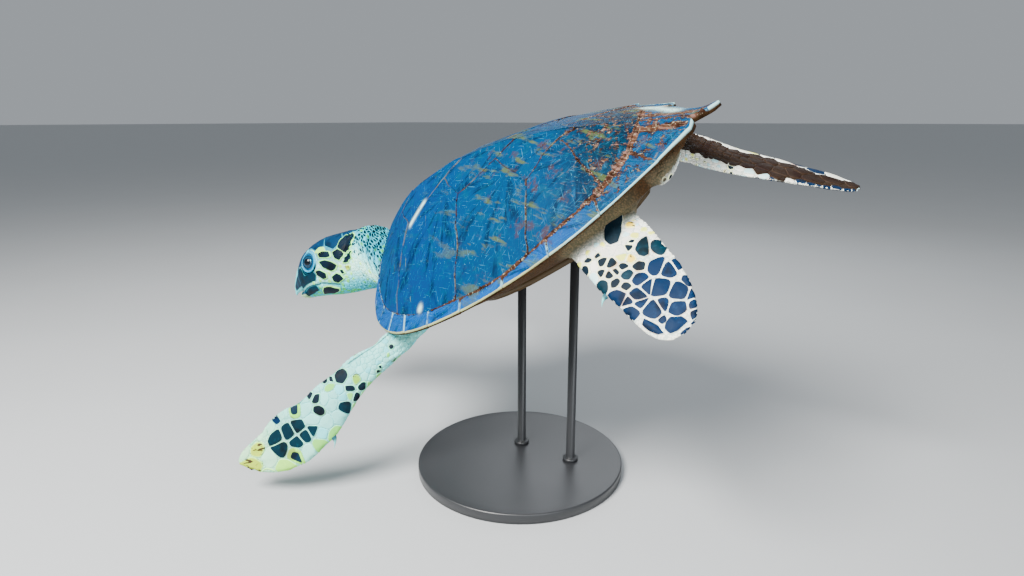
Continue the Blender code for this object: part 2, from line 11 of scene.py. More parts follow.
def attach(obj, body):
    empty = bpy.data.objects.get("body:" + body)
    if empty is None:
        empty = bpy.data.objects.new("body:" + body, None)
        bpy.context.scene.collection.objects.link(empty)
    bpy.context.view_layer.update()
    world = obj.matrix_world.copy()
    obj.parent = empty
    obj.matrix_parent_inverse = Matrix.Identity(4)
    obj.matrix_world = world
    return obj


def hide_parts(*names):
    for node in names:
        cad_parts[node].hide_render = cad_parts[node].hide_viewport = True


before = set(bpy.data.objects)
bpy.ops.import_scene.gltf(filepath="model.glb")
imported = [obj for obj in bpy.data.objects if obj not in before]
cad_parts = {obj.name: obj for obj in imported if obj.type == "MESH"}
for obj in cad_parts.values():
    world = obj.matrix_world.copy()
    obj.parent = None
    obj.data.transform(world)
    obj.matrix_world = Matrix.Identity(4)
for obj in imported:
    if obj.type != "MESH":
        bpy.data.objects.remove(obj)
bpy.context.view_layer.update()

# ---- Dimensions shared with the solids ---------------------------------------------------------
SHELL_LENGTH = 0.65
NOSE_DOWN = 26.2
BANK_LEFT = 32.5
SCUTE_THICKNESS = 0.0045
SCUTE_LIFT = 0.0022
RIM_THICKNESS = 0.0045
UNDERSIDE_DROP = 0.0085
DOME_HEIGHT = 0.191
ROOF_SHARE = 0.54
FRONT_RISE = 0.043
BELLY_DEPTH = 0.122
PLASTRON_THICKNESS = 0.015
FLOOR_CLEARANCE = 0.05
BASE_RADIUS = 0.19
BASE_THICKNESS = 0.018
ROD_RADIUS = 0.008
ROD_STATIONS = (0.41, 0.60)
BALANCE_POINT = (0.505, 0.0, 0.0)

KEEL = [(-0.06, 0.0), (0.0, 0.02), (0.03, 0.09), (0.1, 0.25), (0.2, 0.48), (0.3, 0.69),
        (0.4, 0.85), (0.5, 0.95), (0.6, 1.0), (0.7, 0.99), (0.8, 0.9), (0.9, 0.66),
        (0.95, 0.42), (0.98, 0.2), (1.0, 0.06), (1.02, 0.0)]
RIM_ENDS = [(1.0, 0.088), (0.978, 0.165), (0.942, 0.238), (0.892, 0.303), (0.825, 0.349),
            (0.74, 0.381), (0.645, 0.392), (0.536, 0.385), (0.415, 0.357), (0.30, 0.308),
            (0.188, 0.231), (0.071, 0.12)]
RIM_HALF = [(-0.06, 0.05), (0.0, 0.075)] + RIM_ENDS[:0:-1] + [(1.0, 0.10), (1.02, 0.08)]
INNER_ENDS = [(0.945, 0.075), (0.915, 0.165), (0.885, 0.228), (0.845, 0.283), (0.79, 0.321),
              (0.73, 0.347), (0.635, 0.366), (0.53, 0.362), (0.41, 0.337), (0.303, 0.275),
              (0.197, 0.195), (0.125, 0.092)]
NUCHAL_FRONT = 1.008
LAST_REAR_INNER = 0.105
REAR_NOTCH = 0.012
TAIL_PLATE_LEFT = [(0.023, 0.074), (0.002, 0.048), (0.0, 0.02)]
TAIL_PLATE_RIGHT = [(0.03, -0.07), (-0.01, -0.056), (-0.05, -0.034), (-0.03, -0.012)]
TAIL_PLATE_DROOP = 0.014
VERTEBRAL_SIDE = [(0.80, 0.05), (0.605, 0.045), (0.435, 0.045), (0.277, 0.03)]
VERTEBRAL_KEEL = [0.755, 0.55, 0.388, 0.243]
VERTEBRAL_CORNER = [(0.735, 0.122), (0.541, 0.118), (0.347, 0.134)]
COSTAL_BEND = [(0.762, 0.235), (0.533, 0.25), (0.343, 0.218)]
COSTAL_ENDS = [0.45, 4.4, 6.86, 8.6, 10.22]
SERRATION = [0, 0, 0, 0, 0, 0.001, 0.002, 0.003, 0.005, 0.006, 0.006]
NUCHAL_REAR = 0.947
PLASTRON_HALF = [(0.80, 0.0), (0.79, 0.08), (0.73, 0.15), (0.66, 0.20), (0.56, 0.235), (0.46, 0.235),
                 (0.36, 0.20), (0.26, 0.135), (0.19, 0.08), (0.157, 0.045), (0.168, 0.0)]

HEAD_LENGTH = 0.27
HEAD_ORIGIN = (1.145, -0.002, 0.103)
HEAD_FORWARD = (0.969, 0.098, 0.225)
HEAD_UP = (-0.123, -0.60, 0.79)
HEAD = [(-0.14, 0.235, 0.275, -0.415), (0.0, 0.262, 0.298, -0.42), (0.28, 0.272, 0.30, -0.40),
        (0.45, 0.24, 0.275, -0.375), (0.60, 0.20, 0.225, -0.36), (0.74, 0.152, 0.14, -0.345)]
BEAK_UPPER = [(0.74, 0.15, 0.138, -0.235), (0.83, 0.108, 0.06, -0.235), (0.91, 0.068, -0.035, -0.24),
              (0.97, 0.035, -0.13, -0.25), (1.0, 0.012, -0.20, -0.275)]
BEAK_LOWER = [(0.74, 0.145, -0.241, -0.348), (0.80, 0.105, -0.241, -0.345), (0.86, 0.062, -0.246, -0.33),
              (0.905, 0.026, -0.255, -0.305)]
EYE = (0.51, 0.157, 0.045)
EYE_RADIUS = 0.094
NECK_SPINE = [(0.9255, 0.0, -0.034), (1.008, 0.0, -0.038), (1.054, -0.012, 0.05)]
NECK_HALF = [(0.0, 0.124, 0.052, 0.075), (1.0, 0.112, 0.06, 0.075), (2.0, 0.102, 0.10, 0.10),
             (3.0, 0.0635, 0.0931, 0.0931)]
FRONT_SPINE = [(0.79, 0.19, -0.065), (0.87, 0.335, -0.05), (0.965, 0.441, -0.035),
               (1.067, 0.548, -0.046), (1.155, 0.614, -0.044), (1.257, 0.671, -0.008)]
FRONT_CHORD = [(-0.2, 0.30, -0.92), (-0.2, 0.355, -0.91)]
FRONT_BLADE = [(0.0, 0.03, 0.034, 0.055), (0.25, 0.038, 0.038, 0.052), (0.4, 0.05, 0.046, 0.046),
               (0.6, 0.072, 0.066, 0.034), (0.72, 0.078, 0.074, 0.026), (0.84, 0.062, 0.06, 0.02),
               (0.93, 0.04, 0.04, 0.014), (0.98, 0.02, 0.022, 0.009), (1.0, 0.006, 0.006, 0.006)]
REAR_BLADE = [(0.0, 0.07, 0.055, 0.055), (0.25, 0.088, 0.082, 0.046), (0.5, 0.078, 0.088, 0.032),
              (0.75, 0.062, 0.084, 0.022), (0.9, 0.046, 0.07, 0.015), (0.97, 0.028, 0.052, 0.01),
              (1.0, 0.008, 0.02, 0.006)]
REAR_LEFT_SPINE = [(0.25, 0.12, -0.062), (0.226, 0.20, -0.07), (0.176, 0.288, -0.102),
                   (0.134, 0.359, -0.137), (0.088, 0.45, -0.19)]
REAR_LEFT_CHORD = [(0.86, 0.48, 0.15), (0.86, 0.48, 0.15)]
REAR_RIGHT_SPINE = [(0.15, -0.126, -0.068), (0.088, -0.122, -0.13), (0.013, -0.116, -0.203),
                    (-0.077, -0.118, -0.285), (-0.189, -0.111, -0.388)]
REAR_RIGHT_CHORD = [(0.02, -0.95, -0.15), (0.15, -0.93, -0.27)]
TAIL = [((0.113, -0.03, -0.052), 0.034), ((0.102, 0.008, -0.055), 0.034), ((0.105, 0.046, -0.06), 0.03),
        ((0.108, 0.068, -0.066), 0.021), ((0.11, 0.08, -0.071), 0.009)]
RUMP = [(0.05, 0.035), (0.09, 0.07), (0.122, 0.085)]
RUMP_TOP = -0.024
FRONT_CLAW = (0.58, 0.026, 0.0075)
REAR_CLAW = (0.62, 0.022, 0.007)

# ---- Dimensions of the coat --------------------------------------------------------------------
SKIN_DEPTH = 0.0010   # metres, how far the skin lies inside the outline, under the scales
SCALE_RISE = 0.0011   # metres, how far the middle of a scale stands over the skin


# ---- Curves and frames -------------------------------------------------------------------------
def curve(knots, at):
    """A smooth curve through knots, with no overshoot between them, read at a place."""
    x, y = np.array(knots, float).T
    step = np.diff(x)
    rise = np.diff(y) / step
    slope = np.concatenate([rise[:1], np.zeros(len(x) - 2), rise[-1:]])
    for i in range(1, len(x) - 1):
        if rise[i - 1] * rise[i] > 0:
            slope[i] = 2 * rise[i - 1] * rise[i] / (rise[i - 1] + rise[i])
    at = np.clip(at, x[0], x[-1])
    i = np.clip(np.searchsorted(x, at) - 1, 0, len(step) - 1)
    s = (at - x[i]) / step[i]
    start = y[i] * (1 + 2 * s) * (1 - s) ** 2 + slope[i] * step[i] * s * (1 - s) ** 2
    end = y[i + 1] * s * s * (3 - 2 * s) + slope[i + 1] * step[i] * s * s * (s - 1)
    return start + end


def path(points, at):
    """A smooth curve through points in space, read at a place counted in points."""
    points = np.array(points, float)
    number = np.arange(len(points))
    return np.stack([curve(list(zip(number, points[:, k])), at) for k in range(points.shape[1])], -1)


def sizes_at(rows, at):
    """The second, third and fourth values of rows, read at a place given by their first."""
    return [curve([(row[0], row[k]) for row in rows], at) for k in (1, 2, 3)]


def bell(at, middle, width):
    return np.exp(-((at - middle) / width) ** 2)


def unit(vector):
    vector = np.array(vector, float)
    return vector / np.maximum(np.linalg.norm(vector, axis=-1, keepdims=True), 1e-12)


def smooth(low, high, at):
    s = np.clip((np.asarray(at, float) - low) / (high - low), 0, 1)
    return s * s * (3 - 2 * s)


def body_matrix():
    facing = Matrix(((0, 1, 0), (-1, 0, 0), (0, 0, 1))).to_4x4()
    bank = Matrix.Rotation(math.radians(BANK_LEFT), 4, "Y")
    dive = Matrix.Rotation(math.radians(NOSE_DOWN), 4, "X")
    return np.array(dive @ bank @ facing)[:3, :3]


TURN = body_matrix()


def level(points):
    return (np.array(points, float) - BALANCE_POINT) @ TURN.T * SHELL_LENGTH


LIFT = FLOOR_CLEARANCE - min(level([s[-1]])[0][2] for s in (FRONT_SPINE, REAR_LEFT_SPINE)) + 0.01


def place(points):
    """Body coordinates, in shell lengths, to world metres."""
    return level(points) + np.array([0, 0, LIFT])


# ---- Repeatable noise --------------------------------------------------------------------------
def hashed(*keys):
    """A repeatable number from 0 to 1 for whole-number keys."""
    total = np.zeros(np.broadcast(*keys).shape) + 0.137
    for k, key in enumerate(keys):
        total = total + np.asarray(key, float) * (12.9898 + 65.127 * k)
    return np.mod(np.abs(np.sin(total) * 43758.5453), 1.0)


def noise(x, y, z=0.0, seed=0):
    """Smooth value noise from -1 to 1."""
    x, y, z = np.broadcast_arrays(np.asarray(x, float), np.asarray(y, float), np.asarray(z, float))
    ix, iy, iz = np.floor(x), np.floor(y), np.floor(z)
    fx, fy, fz = (s * s * (3 - 2 * s) for s in (x - ix, y - iy, z - iz))
    total = 0
    for dx in (0, 1):
        for dy in (0, 1):
            for dz in (0, 1):
                weight = (fx if dx else 1 - fx) * (fy if dy else 1 - fy) * (fz if dz else 1 - fz)
                total = total + weight * hashed(ix + dx, iy + dy, iz + dz, seed)
    return total * 2 - 1


# ---- Shell surfaces ----------------------------------------------------------------------------
def rim_height(x):
    return FRONT_RISE * np.clip((x - 0.8) / 0.2, 0, 1) ** 2


def dome(x, y):
    across = np.clip(np.abs(y) / curve(RIM_HALF, x), 0, 1)
    section = (1 - ROOF_SHARE) * (1 - across**2) + ROOF_SHARE * (1 - across)
    return rim_height(x) + DOME_HEIGHT * curve(KEEL, x) * section


def belly(x, y):
    along = np.clip(np.abs(x - 0.515) / 0.47, 0, 1)
    depth = BELLY_DEPTH * (1 - 0.55 * np.clip((along - 0.4) / 0.6, 0, 1) ** 2)
    across = np.clip(np.abs(y) / (curve(RIM_HALF, x) * 0.93), 0, 1)
    return -depth * (1 - 0.9 * across**4)


def inner(at):
    return path(INNER_ENDS, at)


def inner_half(x):
    return curve([(LAST_REAR_INNER, 0.03)] + sorted(INNER_ENDS), x)


SEAM_STOPS = 3   # places on a seam for each marginal plate along it


def seam(start, end):
    first = math.floor(start * SEAM_STOPS) + 1
    last = math.ceil(end * SEAM_STOPS) - 1
    stops = [start] + [k / SEAM_STOPS for k in range(first, last + 1)] + [end]
    return [tuple(p) for p in inner(np.array(stops))]


def mirrored(points):
    return [(x, -y) for x, y in points]


def costal_outline(number):
    lateral = seam(COSTAL_ENDS[number - 1], COSTAL_ENDS[number])
    medial = []
    if number < 4:
        medial += [COSTAL_BEND[number - 1], VERTEBRAL_CORNER[number - 1]]
    medial.append(VERTEBRAL_SIDE[number - 1])
    if number > 1:
        medial += [VERTEBRAL_CORNER[number - 2], COSTAL_BEND[number - 2]]
    return lateral + medial


def vertebral_outline(number):
    if number == 1:
        half = [(NUCHAL_REAR, 0.0)] + seam(0, COSTAL_ENDS[0])
    else:
        half = [(VERTEBRAL_KEEL[number - 2], 0.0), VERTEBRAL_SIDE[number - 2]]
    if number < 5:
        if number > 1:
            half.append(VERTEBRAL_CORNER[number - 2])
        half += [VERTEBRAL_SIDE[number - 1], (VERTEBRAL_KEEL[number - 1], 0.0)]
    else:
        half += seam(COSTAL_ENDS[4], 11) + [(LAST_REAR_INNER, 0.0)]
    return half + mirrored(half[-2:0:-1])


def marginal_rim(number):
    """The free edge of a marginal plate."""
    if number == 12:
        return [RIM_ENDS[11]] + TAIL_PLATE_LEFT
    rim = []
    for share in np.linspace(0, 1, 7):
        spot = path(RIM_ENDS, number - 1 + share)
        out = unit(spot - inner(number - 1 + share))
        rim.append(tuple(spot + out * SERRATION[number - 1] * share**2))
    return rim


def marginal_outline(number):
    rim = marginal_rim(number)
    if number == 12:
        return rim + [(REAR_NOTCH, 0.0), (LAST_REAR_INNER, 0.0), INNER_ENDS[11]]
    return rim + seam(number - 1, number)[::-1]


def right_tail_rim():
    return [(RIM_ENDS[11][0], -RIM_ENDS[11][1])] + TAIL_PLATE_RIGHT


def right_tail_plate():
    return right_tail_rim() + [
        (REAR_NOTCH, 0.0), (LAST_REAR_INNER, 0.0), (INNER_ENDS[11][0], -INNER_ENDS[11][1])]


def tail_droop(x, y):
    return TAIL_PLATE_DROOP * np.clip((0.1 - x) / 0.1, 0, 1) * np.clip(-y / 0.05, 0, 1)


# ---- Mesh making -------------------------------------------------------------------------------
def linked(name, data):
    made = bpy.data.objects.new(name, data)
    bpy.context.scene.collection.objects.link(made)
    return made


def build(name, points, faces, finish, attributes=None, metres=False):
    """A mesh object that rides on the root; faces is a list of arrays of equal-length rows."""
    world = np.asarray(points, float) if metres else place(points)
    mesh = bpy.data.meshes.new(name)
    mesh.from_pydata([tuple(p) for p in world], [], [tuple(map(int, f)) for block in faces for f in block])
    for key, values in (attributes or {}).items():
        values = np.asarray(values, np.float32)
        kind = "FLOAT" if values.ndim == 1 else "FLOAT_COLOR"
        layer = mesh.attributes.new(key, kind, "POINT")
        if values.ndim == 1:
            layer.data.foreach_set("value", values)
        else:
            rgba = np.column_stack([values, np.ones(len(values))]).astype(np.float32)
            layer.data.foreach_set("color", rgba.ravel())
    mesh.shade_smooth()
    mesh.materials.append(finish)
    made = linked(name, mesh)
    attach(made, "root")
    return made


def grid_faces(rows, columns, start=0):
    r = np.arange(rows - 1)[:, None] * columns
    k = np.arange(columns)[None]
    after = (k + 1) % columns
    quads = np.stack([r + k, r + after, r + columns + after, r + columns + k], -1).reshape(-1, 4)
    return quads + start


def fan_faces(start, count, middle):
    """Triangles from a ring of points, the first of which is start, to a point in its middle."""
    k = np.arange(count)
    return np.stack([start + k, start + (k + 1) % count, np.full(count, middle)], -1)


def turned_out(points, faces):
    """The faces, reversed if the closed body they make is inside out."""
    volume = 0.0
    for block in faces:
        tri = points[block[:, :3]]
        volume += np.einsum("ij,ij->i", tri[:, 0], np.cross(tri[:, 1], tri[:, 2])).sum()
        if block.shape[1] == 4:
            tri = points[block[:, [0, 2, 3]]]
            volume += np.einsum("ij,ij->i", tri[:, 0], np.cross(tri[:, 1], tri[:, 2])).sum()
    return [block[:, ::-1] for block in faces] if volume < 0 else faces


def loft_grid(grid, close=True):
    """Points and face blocks of a tube through a grid of rings, its ends closed at a middle point."""
    rows, columns = grid.shape[:2]
    points = grid.reshape(-1, 3)
    faces = [grid_faces(rows, columns)]
    if close:
        points = np.concatenate([points, grid[0].mean(0)[None], grid[-1].mean(0)[None]])
        last = rows * columns
        faces.append(fan_faces(0, columns, last)[:, ::-1])
        faces.append(fan_faces(last - columns, columns, last + 1))
    return points, turned_out(points - points.mean(0), faces)


def join(parts):
    """Several (points, faces, attributes) as one."""
    points, faces, attributes, start = [], [], {}, 0
    for p, blocks, values in parts:
        points.append(p)
        faces += [b + start for b in blocks]
        for key, value in values.items():
            attributes.setdefault(key, []).append(value)
        start += len(p)
    return np.concatenate(points), faces, {k: np.concatenate(v) for k, v in attributes.items()}


def shrink(outline, by):
    """The outline with every side moved in, or out where by is less than zero."""
    points = np.array(outline, float)
    area = np.sum(points[:, 0] * np.roll(points[:, 1], -1) - np.roll(points[:, 0], -1) * points[:, 1])
    side = np.roll(points, -1, 0) - points
    side /= np.linalg.norm(side, axis=1, keepdims=True)
    normal = np.stack([-side[:, 1], side[:, 0]], 1) * (1 if area > 0 else -1)
    both = normal + np.roll(normal, 1, 0)
    mitre = both / np.maximum(np.sum(both * np.roll(normal, 1, 0), axis=1, keepdims=True), 0.35)
    return points + mitre * by


def finer(outline, longest):
    """The outline with points between its own, so that no side is longer than longest."""
    points = []
    outline = [tuple(p) for p in outline]
    for a, b in zip(outline, outline[1:] + outline[:1]):
        a, b = np.array(a), np.array(b)
        pieces = max(1, math.ceil(np.linalg.norm(b - a) / longest))
        points += [tuple(a + (b - a) * k / pieces) for k in range(pieces)]
    return points


def rounded(outline):
    """The outline with its corners cut off twice."""
    points = np.array(outline, float)
    for cut in (0.17, 0.25):
        after = np.roll(points, -1, 0)
        first, second = points * (1 - cut) + after * cut, points * cut + after * (1 - cut)
        points = np.stack([first, second], 1).reshape(-1, 2)
    return points


# ---- Horn plates of the shell ------------------------------------------------------------------
PLATE_GAP = 0.0003   # metres between neighbouring plates
SEAM_WANDER = 0.0055  # shell lengths, how far a seam strays from its straight line
# Pale marks on the shell, each a line between two places and a width: a scar, a painted highlight along the
# right rear of the shell, and the pale round mark of a barnacle
SCARS_AND_HIGHLIGHT = [((0.722, 0.126), (0.675, 0.085), 0.0048), ((0.131, -0.126), (0.053, -0.061), 0.010),
         ((0.669, 0.353), (0.666, 0.350), 0.0045)]
BELLY_SEAMS = [0.70, 0.56, 0.42, 0.29, 0.20]


def wandered(outline):
    """Seams that stray a little to either side, the same for both plates, and not at the rim."""
    x, y = np.array(outline, float).T
    inward = smooth(-0.01, 0.05, inner_half(x) - np.abs(y)) * SEAM_WANDER
    dx = noise(x * 16, y * 16, 0, 51) + 0.5 * noise(x * 41, y * 41, 0, 52)
    dy = noise(x * 16, y * 16, 0, 53) + 0.5 * noise(x * 41, y * 41, 0, 54)
    return [tuple(p) for p in np.column_stack([x + dx * inward, y + dy * inward * (np.abs(y) > 1e-9)])]


def from_path(points, line):
    """Distance in plan, in metres, of each point from a line through several places."""
    return np.min([from_line(points, a, b) for a, b in zip(line, line[1:])], axis=0)


def from_line(points, start, end):
    """Distance in plan, in metres, of each point from a line between two places."""
    start, end = np.array(start), np.array(end)
    along = np.clip((points[:, :2] - start) @ (end - start) / np.sum((end - start) ** 2), 0, 1)
    return np.linalg.norm(points[:, :2] - start - along[:, None] * (end - start), axis=1) * SHELL_LENGTH


def silt(points, margin):
    """Mud and growth on the shell: along the marginal seam, at the rear seams and over the rump."""
    x, y = points[:, 0], points[:, 1]
    seam_line = np.abs(np.abs(y) - inner_half(x)) * SHELL_LENGTH
    rear = smooth(0.62, 0.12, x)
    side = bell(seam_line, 0, 0.0020 + 0.0036 * rear) * (0.42 + 0.16 * rear)
    joints = np.exp(-margin / 0.0016) * 0.42 * smooth(0.66, 0.5, x)
    rump = 0.34 * smooth(0.29, 0.20, x + 0.35 * np.abs(y) - 0.03)
    return np.clip(side + joints + rump, 0, 1)


# Nearness to the pale marks: the scar, the painted highlight and the barnacle's mark.
def scar_and_highlight(points):
    return np.max([bell(from_line(points, a, b), 0, width) for a, b, width in SCARS_AND_HIGHLIGHT], axis=0)


def groove(points):
    """Distance in metres from the seams between the plastron's own plates."""
    x, y = points[:, 0], np.abs(points[:, 1])
    return np.min([y] + [np.abs(x - start + 0.35 * y**1.3) for start in BELLY_SEAMS], axis=0) * SHELL_LENGTH


def scute(name, outline, finish, areola, top, bottom, step=0.006, rings=26, ridge=False, outer=None):
    """A horn plate: nested rings over its outline, with rings and streaks that spread from its areola."""
    edge = np.array(shrink(wandered(finer(outline, step)), PLATE_GAP / 2 / SHELL_LENGTH))
    centre = edge.mean(0)
    if ridge:
        centre = np.array([(edge[:, 0].max() + edge[:, 0].min()) / 2, 0.0])
    share = 1 - np.linspace(0, 1, rings) ** 1.25 * 0.985
    plan = np.concatenate([centre + (edge - centre) * r for r in share] + [centre[None]])
    ring = np.concatenate([np.full(len(edge), r) for r in share] + [[0.0]])
    count = len(edge)
    rear = np.clip((edge[:, 0].max() - plan[:, 0]) / np.ptp(edge[:, 0]), 0, 1)
    reach = np.linalg.norm(edge - centre, axis=1).mean()
    margin = (1 - ring) * reach * SHELL_LENGTH
    areola = np.array(areola, float)
    offset = (plan - areola) * SHELL_LENGTH
    far = np.linalg.norm(offset, axis=1)
    fan = np.arctan2(offset[:, 1], offset[:, 0])
    seed = int(abs(hashed(centre[0] * 91, centre[1] * 57)) * 1000)
    growth = 0.00022 * np.sin(margin * 900 + 2.2 * noise(plan[:, 0] * 22, plan[:, 1] * 22, 0, seed))
    growth *= smooth(0.0, 0.004, margin) * (1 - smooth(0.02, 0.05, margin))
    waves = 0.0009 * noise(plan[:, 0] * 9, plan[:, 1] * 9, 0, seed + 3)
    fibre = 0.00014 * noise(fan * 46, far * 30, 0, seed + 5)
    roll = -0.0005 * (1 - smooth(0.0, 0.0016, margin)) ** 2
    height = (growth + (waves + fibre) * smooth(0, 0.006, margin) + roll) / SHELL_LENGTH
    z = top(plan[:, 0], plan[:, 1]) + rear**2 * SCUTE_LIFT / SHELL_LENGTH + height
    upper = np.column_stack([plan, z])
    shares = (1.0, 0.8, 0.5, 0.2)
    under = [centre + (edge - centre) * r for r in shares]
    under = [np.column_stack([p, bottom(p[:, 0], p[:, 1])]) for p in under]
    floor = np.array([[*centre, float(bottom(centre[0], centre[1]))]])
    points = np.concatenate([upper] + under + [floor])
    k = np.arange(count)
    after = (k + 1) % count
    first = rings * count + 1
    last = first + (len(shares) - 1) * count
    faces = [grid_faces(rings, count), fan_faces((rings - 1) * count, count, rings * count),
             np.stack([after, k, first + k, first + after], -1),
             grid_faces(len(shares), count, first)[:, ::-1], fan_faces(last, count, last + count)[:, ::-1]]
    fan, far = (np.concatenate([v, np.tile(v[:count], len(shares)), [0]]) for v in (fan, far))
    lower = np.zeros(len(points) - len(upper))
    margin = np.concatenate([margin, lower])
    rim = from_path(points, outer) if outer else np.ones(len(points))
    faces = turned_out(points - points.mean(0), faces)
    made = build(name, points, faces, finish, {
        "margin": margin, "under": np.concatenate([np.zeros(len(upper)), lower + 1]),
        "plan_x": points[:, 0], "plan_y": points[:, 1], "rim": rim,
        "ray": np.column_stack([np.cos(fan), np.sin(fan), far]),
        "silt": silt(points, margin) * smooth(0.001, 0.009, rim),
        "scar_and_highlight": scar_and_highlight(points), "groove": groove(points)})
    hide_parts(name)
    return made


def under_scute(x, y):
    return dome(x, y) - SCUTE_THICKNESS / SHELL_LENGTH


def under_shell(points, height):
    """Points kept below the shell's plates, but for those that were above already."""
    x, y, z = np.moveaxis(points, -1, 0)
    wide = curve(RIM_HALF, x)
    roof = np.where(np.abs(y) < inner_half(x), under_scute(x, y) - 0.0010 / SHELL_LENGTH,
                    under_marginal(x, y) - 0.0005 / SHELL_LENGTH)
    covered = (np.abs(y) < wide) & (x > 0.0) & (x < 1.0)
    limit = np.where(covered, np.maximum(roof, height), np.inf)
    return np.stack([x, y, np.minimum(z, limit)], -1)


def under_marginal(x, y):
    inwards = np.clip((curve(RIM_HALF, x) - np.abs(y)) / 0.04, 0, 1)
    drop = RIM_THICKNESS + (UNDERSIDE_DROP - RIM_THICKNESS) * inwards
    return rim_height(x) - drop / SHELL_LENGTH


def add_shell(shell, rim, belly_horn):
    for number in range(1, 6):
        outline = vertebral_outline(number)
        rear = min(p[0] for p in outline) + 0.03
        scute(f"vertebral_{number}", outline, shell, (rear, 0.0), dome, under_scute,
              ridge=True)
    half = [(NUCHAL_FRONT, 0.0), RIM_ENDS[0], INNER_ENDS[0], (NUCHAL_REAR, 0.0)]
    scute("nuchal", half + mirrored(half[-2:0:-1]), rim, (0.95, 0.0), dome, under_scute,
          ridge=True, rings=14, outer=[RIM_ENDS[0], (NUCHAL_FRONT, 0.0), *mirrored(RIM_ENDS[:1])])
    for side, sign, turn in (("left", 1, list), ("right", -1, mirrored)):
        for number in range(1, 5):
            outline = turn(costal_outline(number))
            x = min(p[0] for p in outline) + 0.05
            y = sign * (min(abs(p[1]) for p in outline) + 0.06)
            scute(f"costal_{side}_{number}", outline, shell, (x, y), dome, under_scute)
        for number in range(1, 13):
            name = f"marginal_{side}_{number}"
            if side == "right" and number == 12:
                outline = right_tail_plate()
                scute(name, outline, rim, (0.09, -0.03),
                      lambda x, y: dome(x, y) - tail_droop(x, y),
                      lambda x, y: under_marginal(x, y) - tail_droop(x, y), rings=14, step=0.005,
                      outer=right_tail_rim())
            else:
                outline = turn(marginal_outline(number))
                rear = min(outline, key=lambda p: p[0])
                scute(name, outline, rim, rear, dome, under_marginal, rings=14, step=0.005,
                      outer=turn(marginal_rim(number)))
    scute("plastron", PLASTRON_HALF + mirrored(PLASTRON_HALF[-2:0:-1]), belly_horn, (0.3, 0.0),
          lambda x, y: belly(x, y) + PLASTRON_THICKNESS, belly, ridge=True, rings=20, step=0.012)


# ---- Surfaces of the flesh ---------------------------------------------------------------------
def head_frame():
    forward = unit(HEAD_FORWARD)
    side = unit(np.cross(HEAD_UP, forward))
    return np.array(HEAD_ORIGIN), forward, side, np.cross(forward, side)


def fin_frame(fin, share):
    spine, chord, blade = fin
    number = len(spine) - 1
    share = np.asarray(share, float)
    centre = path(spine, share * number)
    before, after = np.maximum(share - 0.01, 0), np.minimum(share + 0.01, 1)
    ahead = unit(path(spine, after * number) - path(spine, before * number))
    s = share[..., None]
    lead = (1 - s) * unit(chord[0]) + s * unit(chord[1])
    lead = unit(lead - ahead * np.sum(lead * ahead, -1, keepdims=True))
    normal = np.cross(lead, ahead)
    return centre, lead, normal, sizes_at(blade, share)


def other_side(points):
    return [(x, -y, z) for x, y, z in points]


FINS = {
    "front_left": (FRONT_SPINE, FRONT_CHORD, FRONT_BLADE),
    "front_right": (other_side(FRONT_SPINE), other_side(FRONT_CHORD), FRONT_BLADE),
    "rear_left": (REAR_LEFT_SPINE, REAR_LEFT_CHORD, REAR_BLADE),
    "rear_right": (REAR_RIGHT_SPINE, REAR_RIGHT_CHORD, REAR_BLADE),
}


# ---- Charts: flesh laid out as rings, with places on it given by length and turn ----------------
class Chart:
    """Rings of evenly spaced points. a runs along from 0 to 1, and q round from 0 to 1."""

    def __init__(self, grid):
        self.grid = grid
        self.rows, self.columns = grid.shape[:2]
        self.crease = self.joint = np.zeros(grid.shape[:2])
        self.refresh()

    def refresh(self):
        across = np.roll(self.grid, -1, 1) - np.roll(self.grid, 1, 1)
        along = np.gradient(self.grid, axis=0)
        normal = unit(np.cross(along, across))
        outwards = self.grid - self.grid.mean(1, keepdims=True)
        self.normals = normal if np.sum(normal * outwards) > 0 else -normal
        self.stretch = np.stack([np.linalg.norm(along, axis=-1) * (self.rows - 1),
                                 np.linalg.norm(across, axis=-1) / 2 * self.columns], -1)

    def look(self, table, a, q):
        r = np.clip(a, 0, 1) * (self.rows - 1)
        c = np.mod(q, 1.0) * self.columns
        i = np.minimum(r.astype(int), self.rows - 2)
        j = np.floor(c).astype(int) % self.columns
        s, t, k = (r - i)[..., None], (c - np.floor(c))[..., None], (j + 1) % self.columns
        near = table[i, j] * (1 - s) + table[i + 1, j] * s
        return near * (1 - t) + (table[i, k] * (1 - s) + table[i + 1, k] * s) * t

    def at(self, a, q, height=0.0):
        normal = unit(self.look(self.normals, a, q))
        return self.look(self.grid, a, q) + normal * np.asarray(height, float)[..., None]

    def push(self, metres):
        """Moves every point out along its normal, and keeps it under the shell."""
        swollen = self.grid + self.normals * (metres / SHELL_LENGTH)[..., None]
        self.grid = under_shell(swollen, self.grid[..., 2])
        self.refresh()

    def turns(self):
        """The a and q of every point of the grid."""
        around = np.arange(self.columns) / self.columns
        return np.meshgrid(np.linspace(0, 1, self.rows), around, indexing="ij")


def away(q):
    """How far round a place lies from where q starts, either way: 0 there and 0.5 opposite."""
    return np.minimum(q, 1 - q)


def even_ring(points, count):
    """A ring of points, the last the same as the first, walked at even steps."""
    walked = np.concatenate([[0], np.cumsum(np.linalg.norm(np.diff(points, axis=0), axis=1))])
    share = np.linspace(0, walked[-1], count, endpoint=False)
    return np.stack([np.interp(share, walked, values) for values in points.T], -1)


def ring_from_top(centre, side, up, half, above, below, power, count):
    """A flattened ring that starts at the top and goes round by the left side."""
    angle = np.linspace(0, 2 * math.pi, 721)
    across = np.sign(np.sin(angle)) * np.abs(np.sin(angle)) ** (2 / power)
    rise = np.sign(np.cos(angle)) * np.abs(np.cos(angle)) ** (2 / power)
    height = np.where(rise > 0, above, below) * rise
    return even_ring(centre + np.outer(across * half, side) + np.outer(height, up), count)


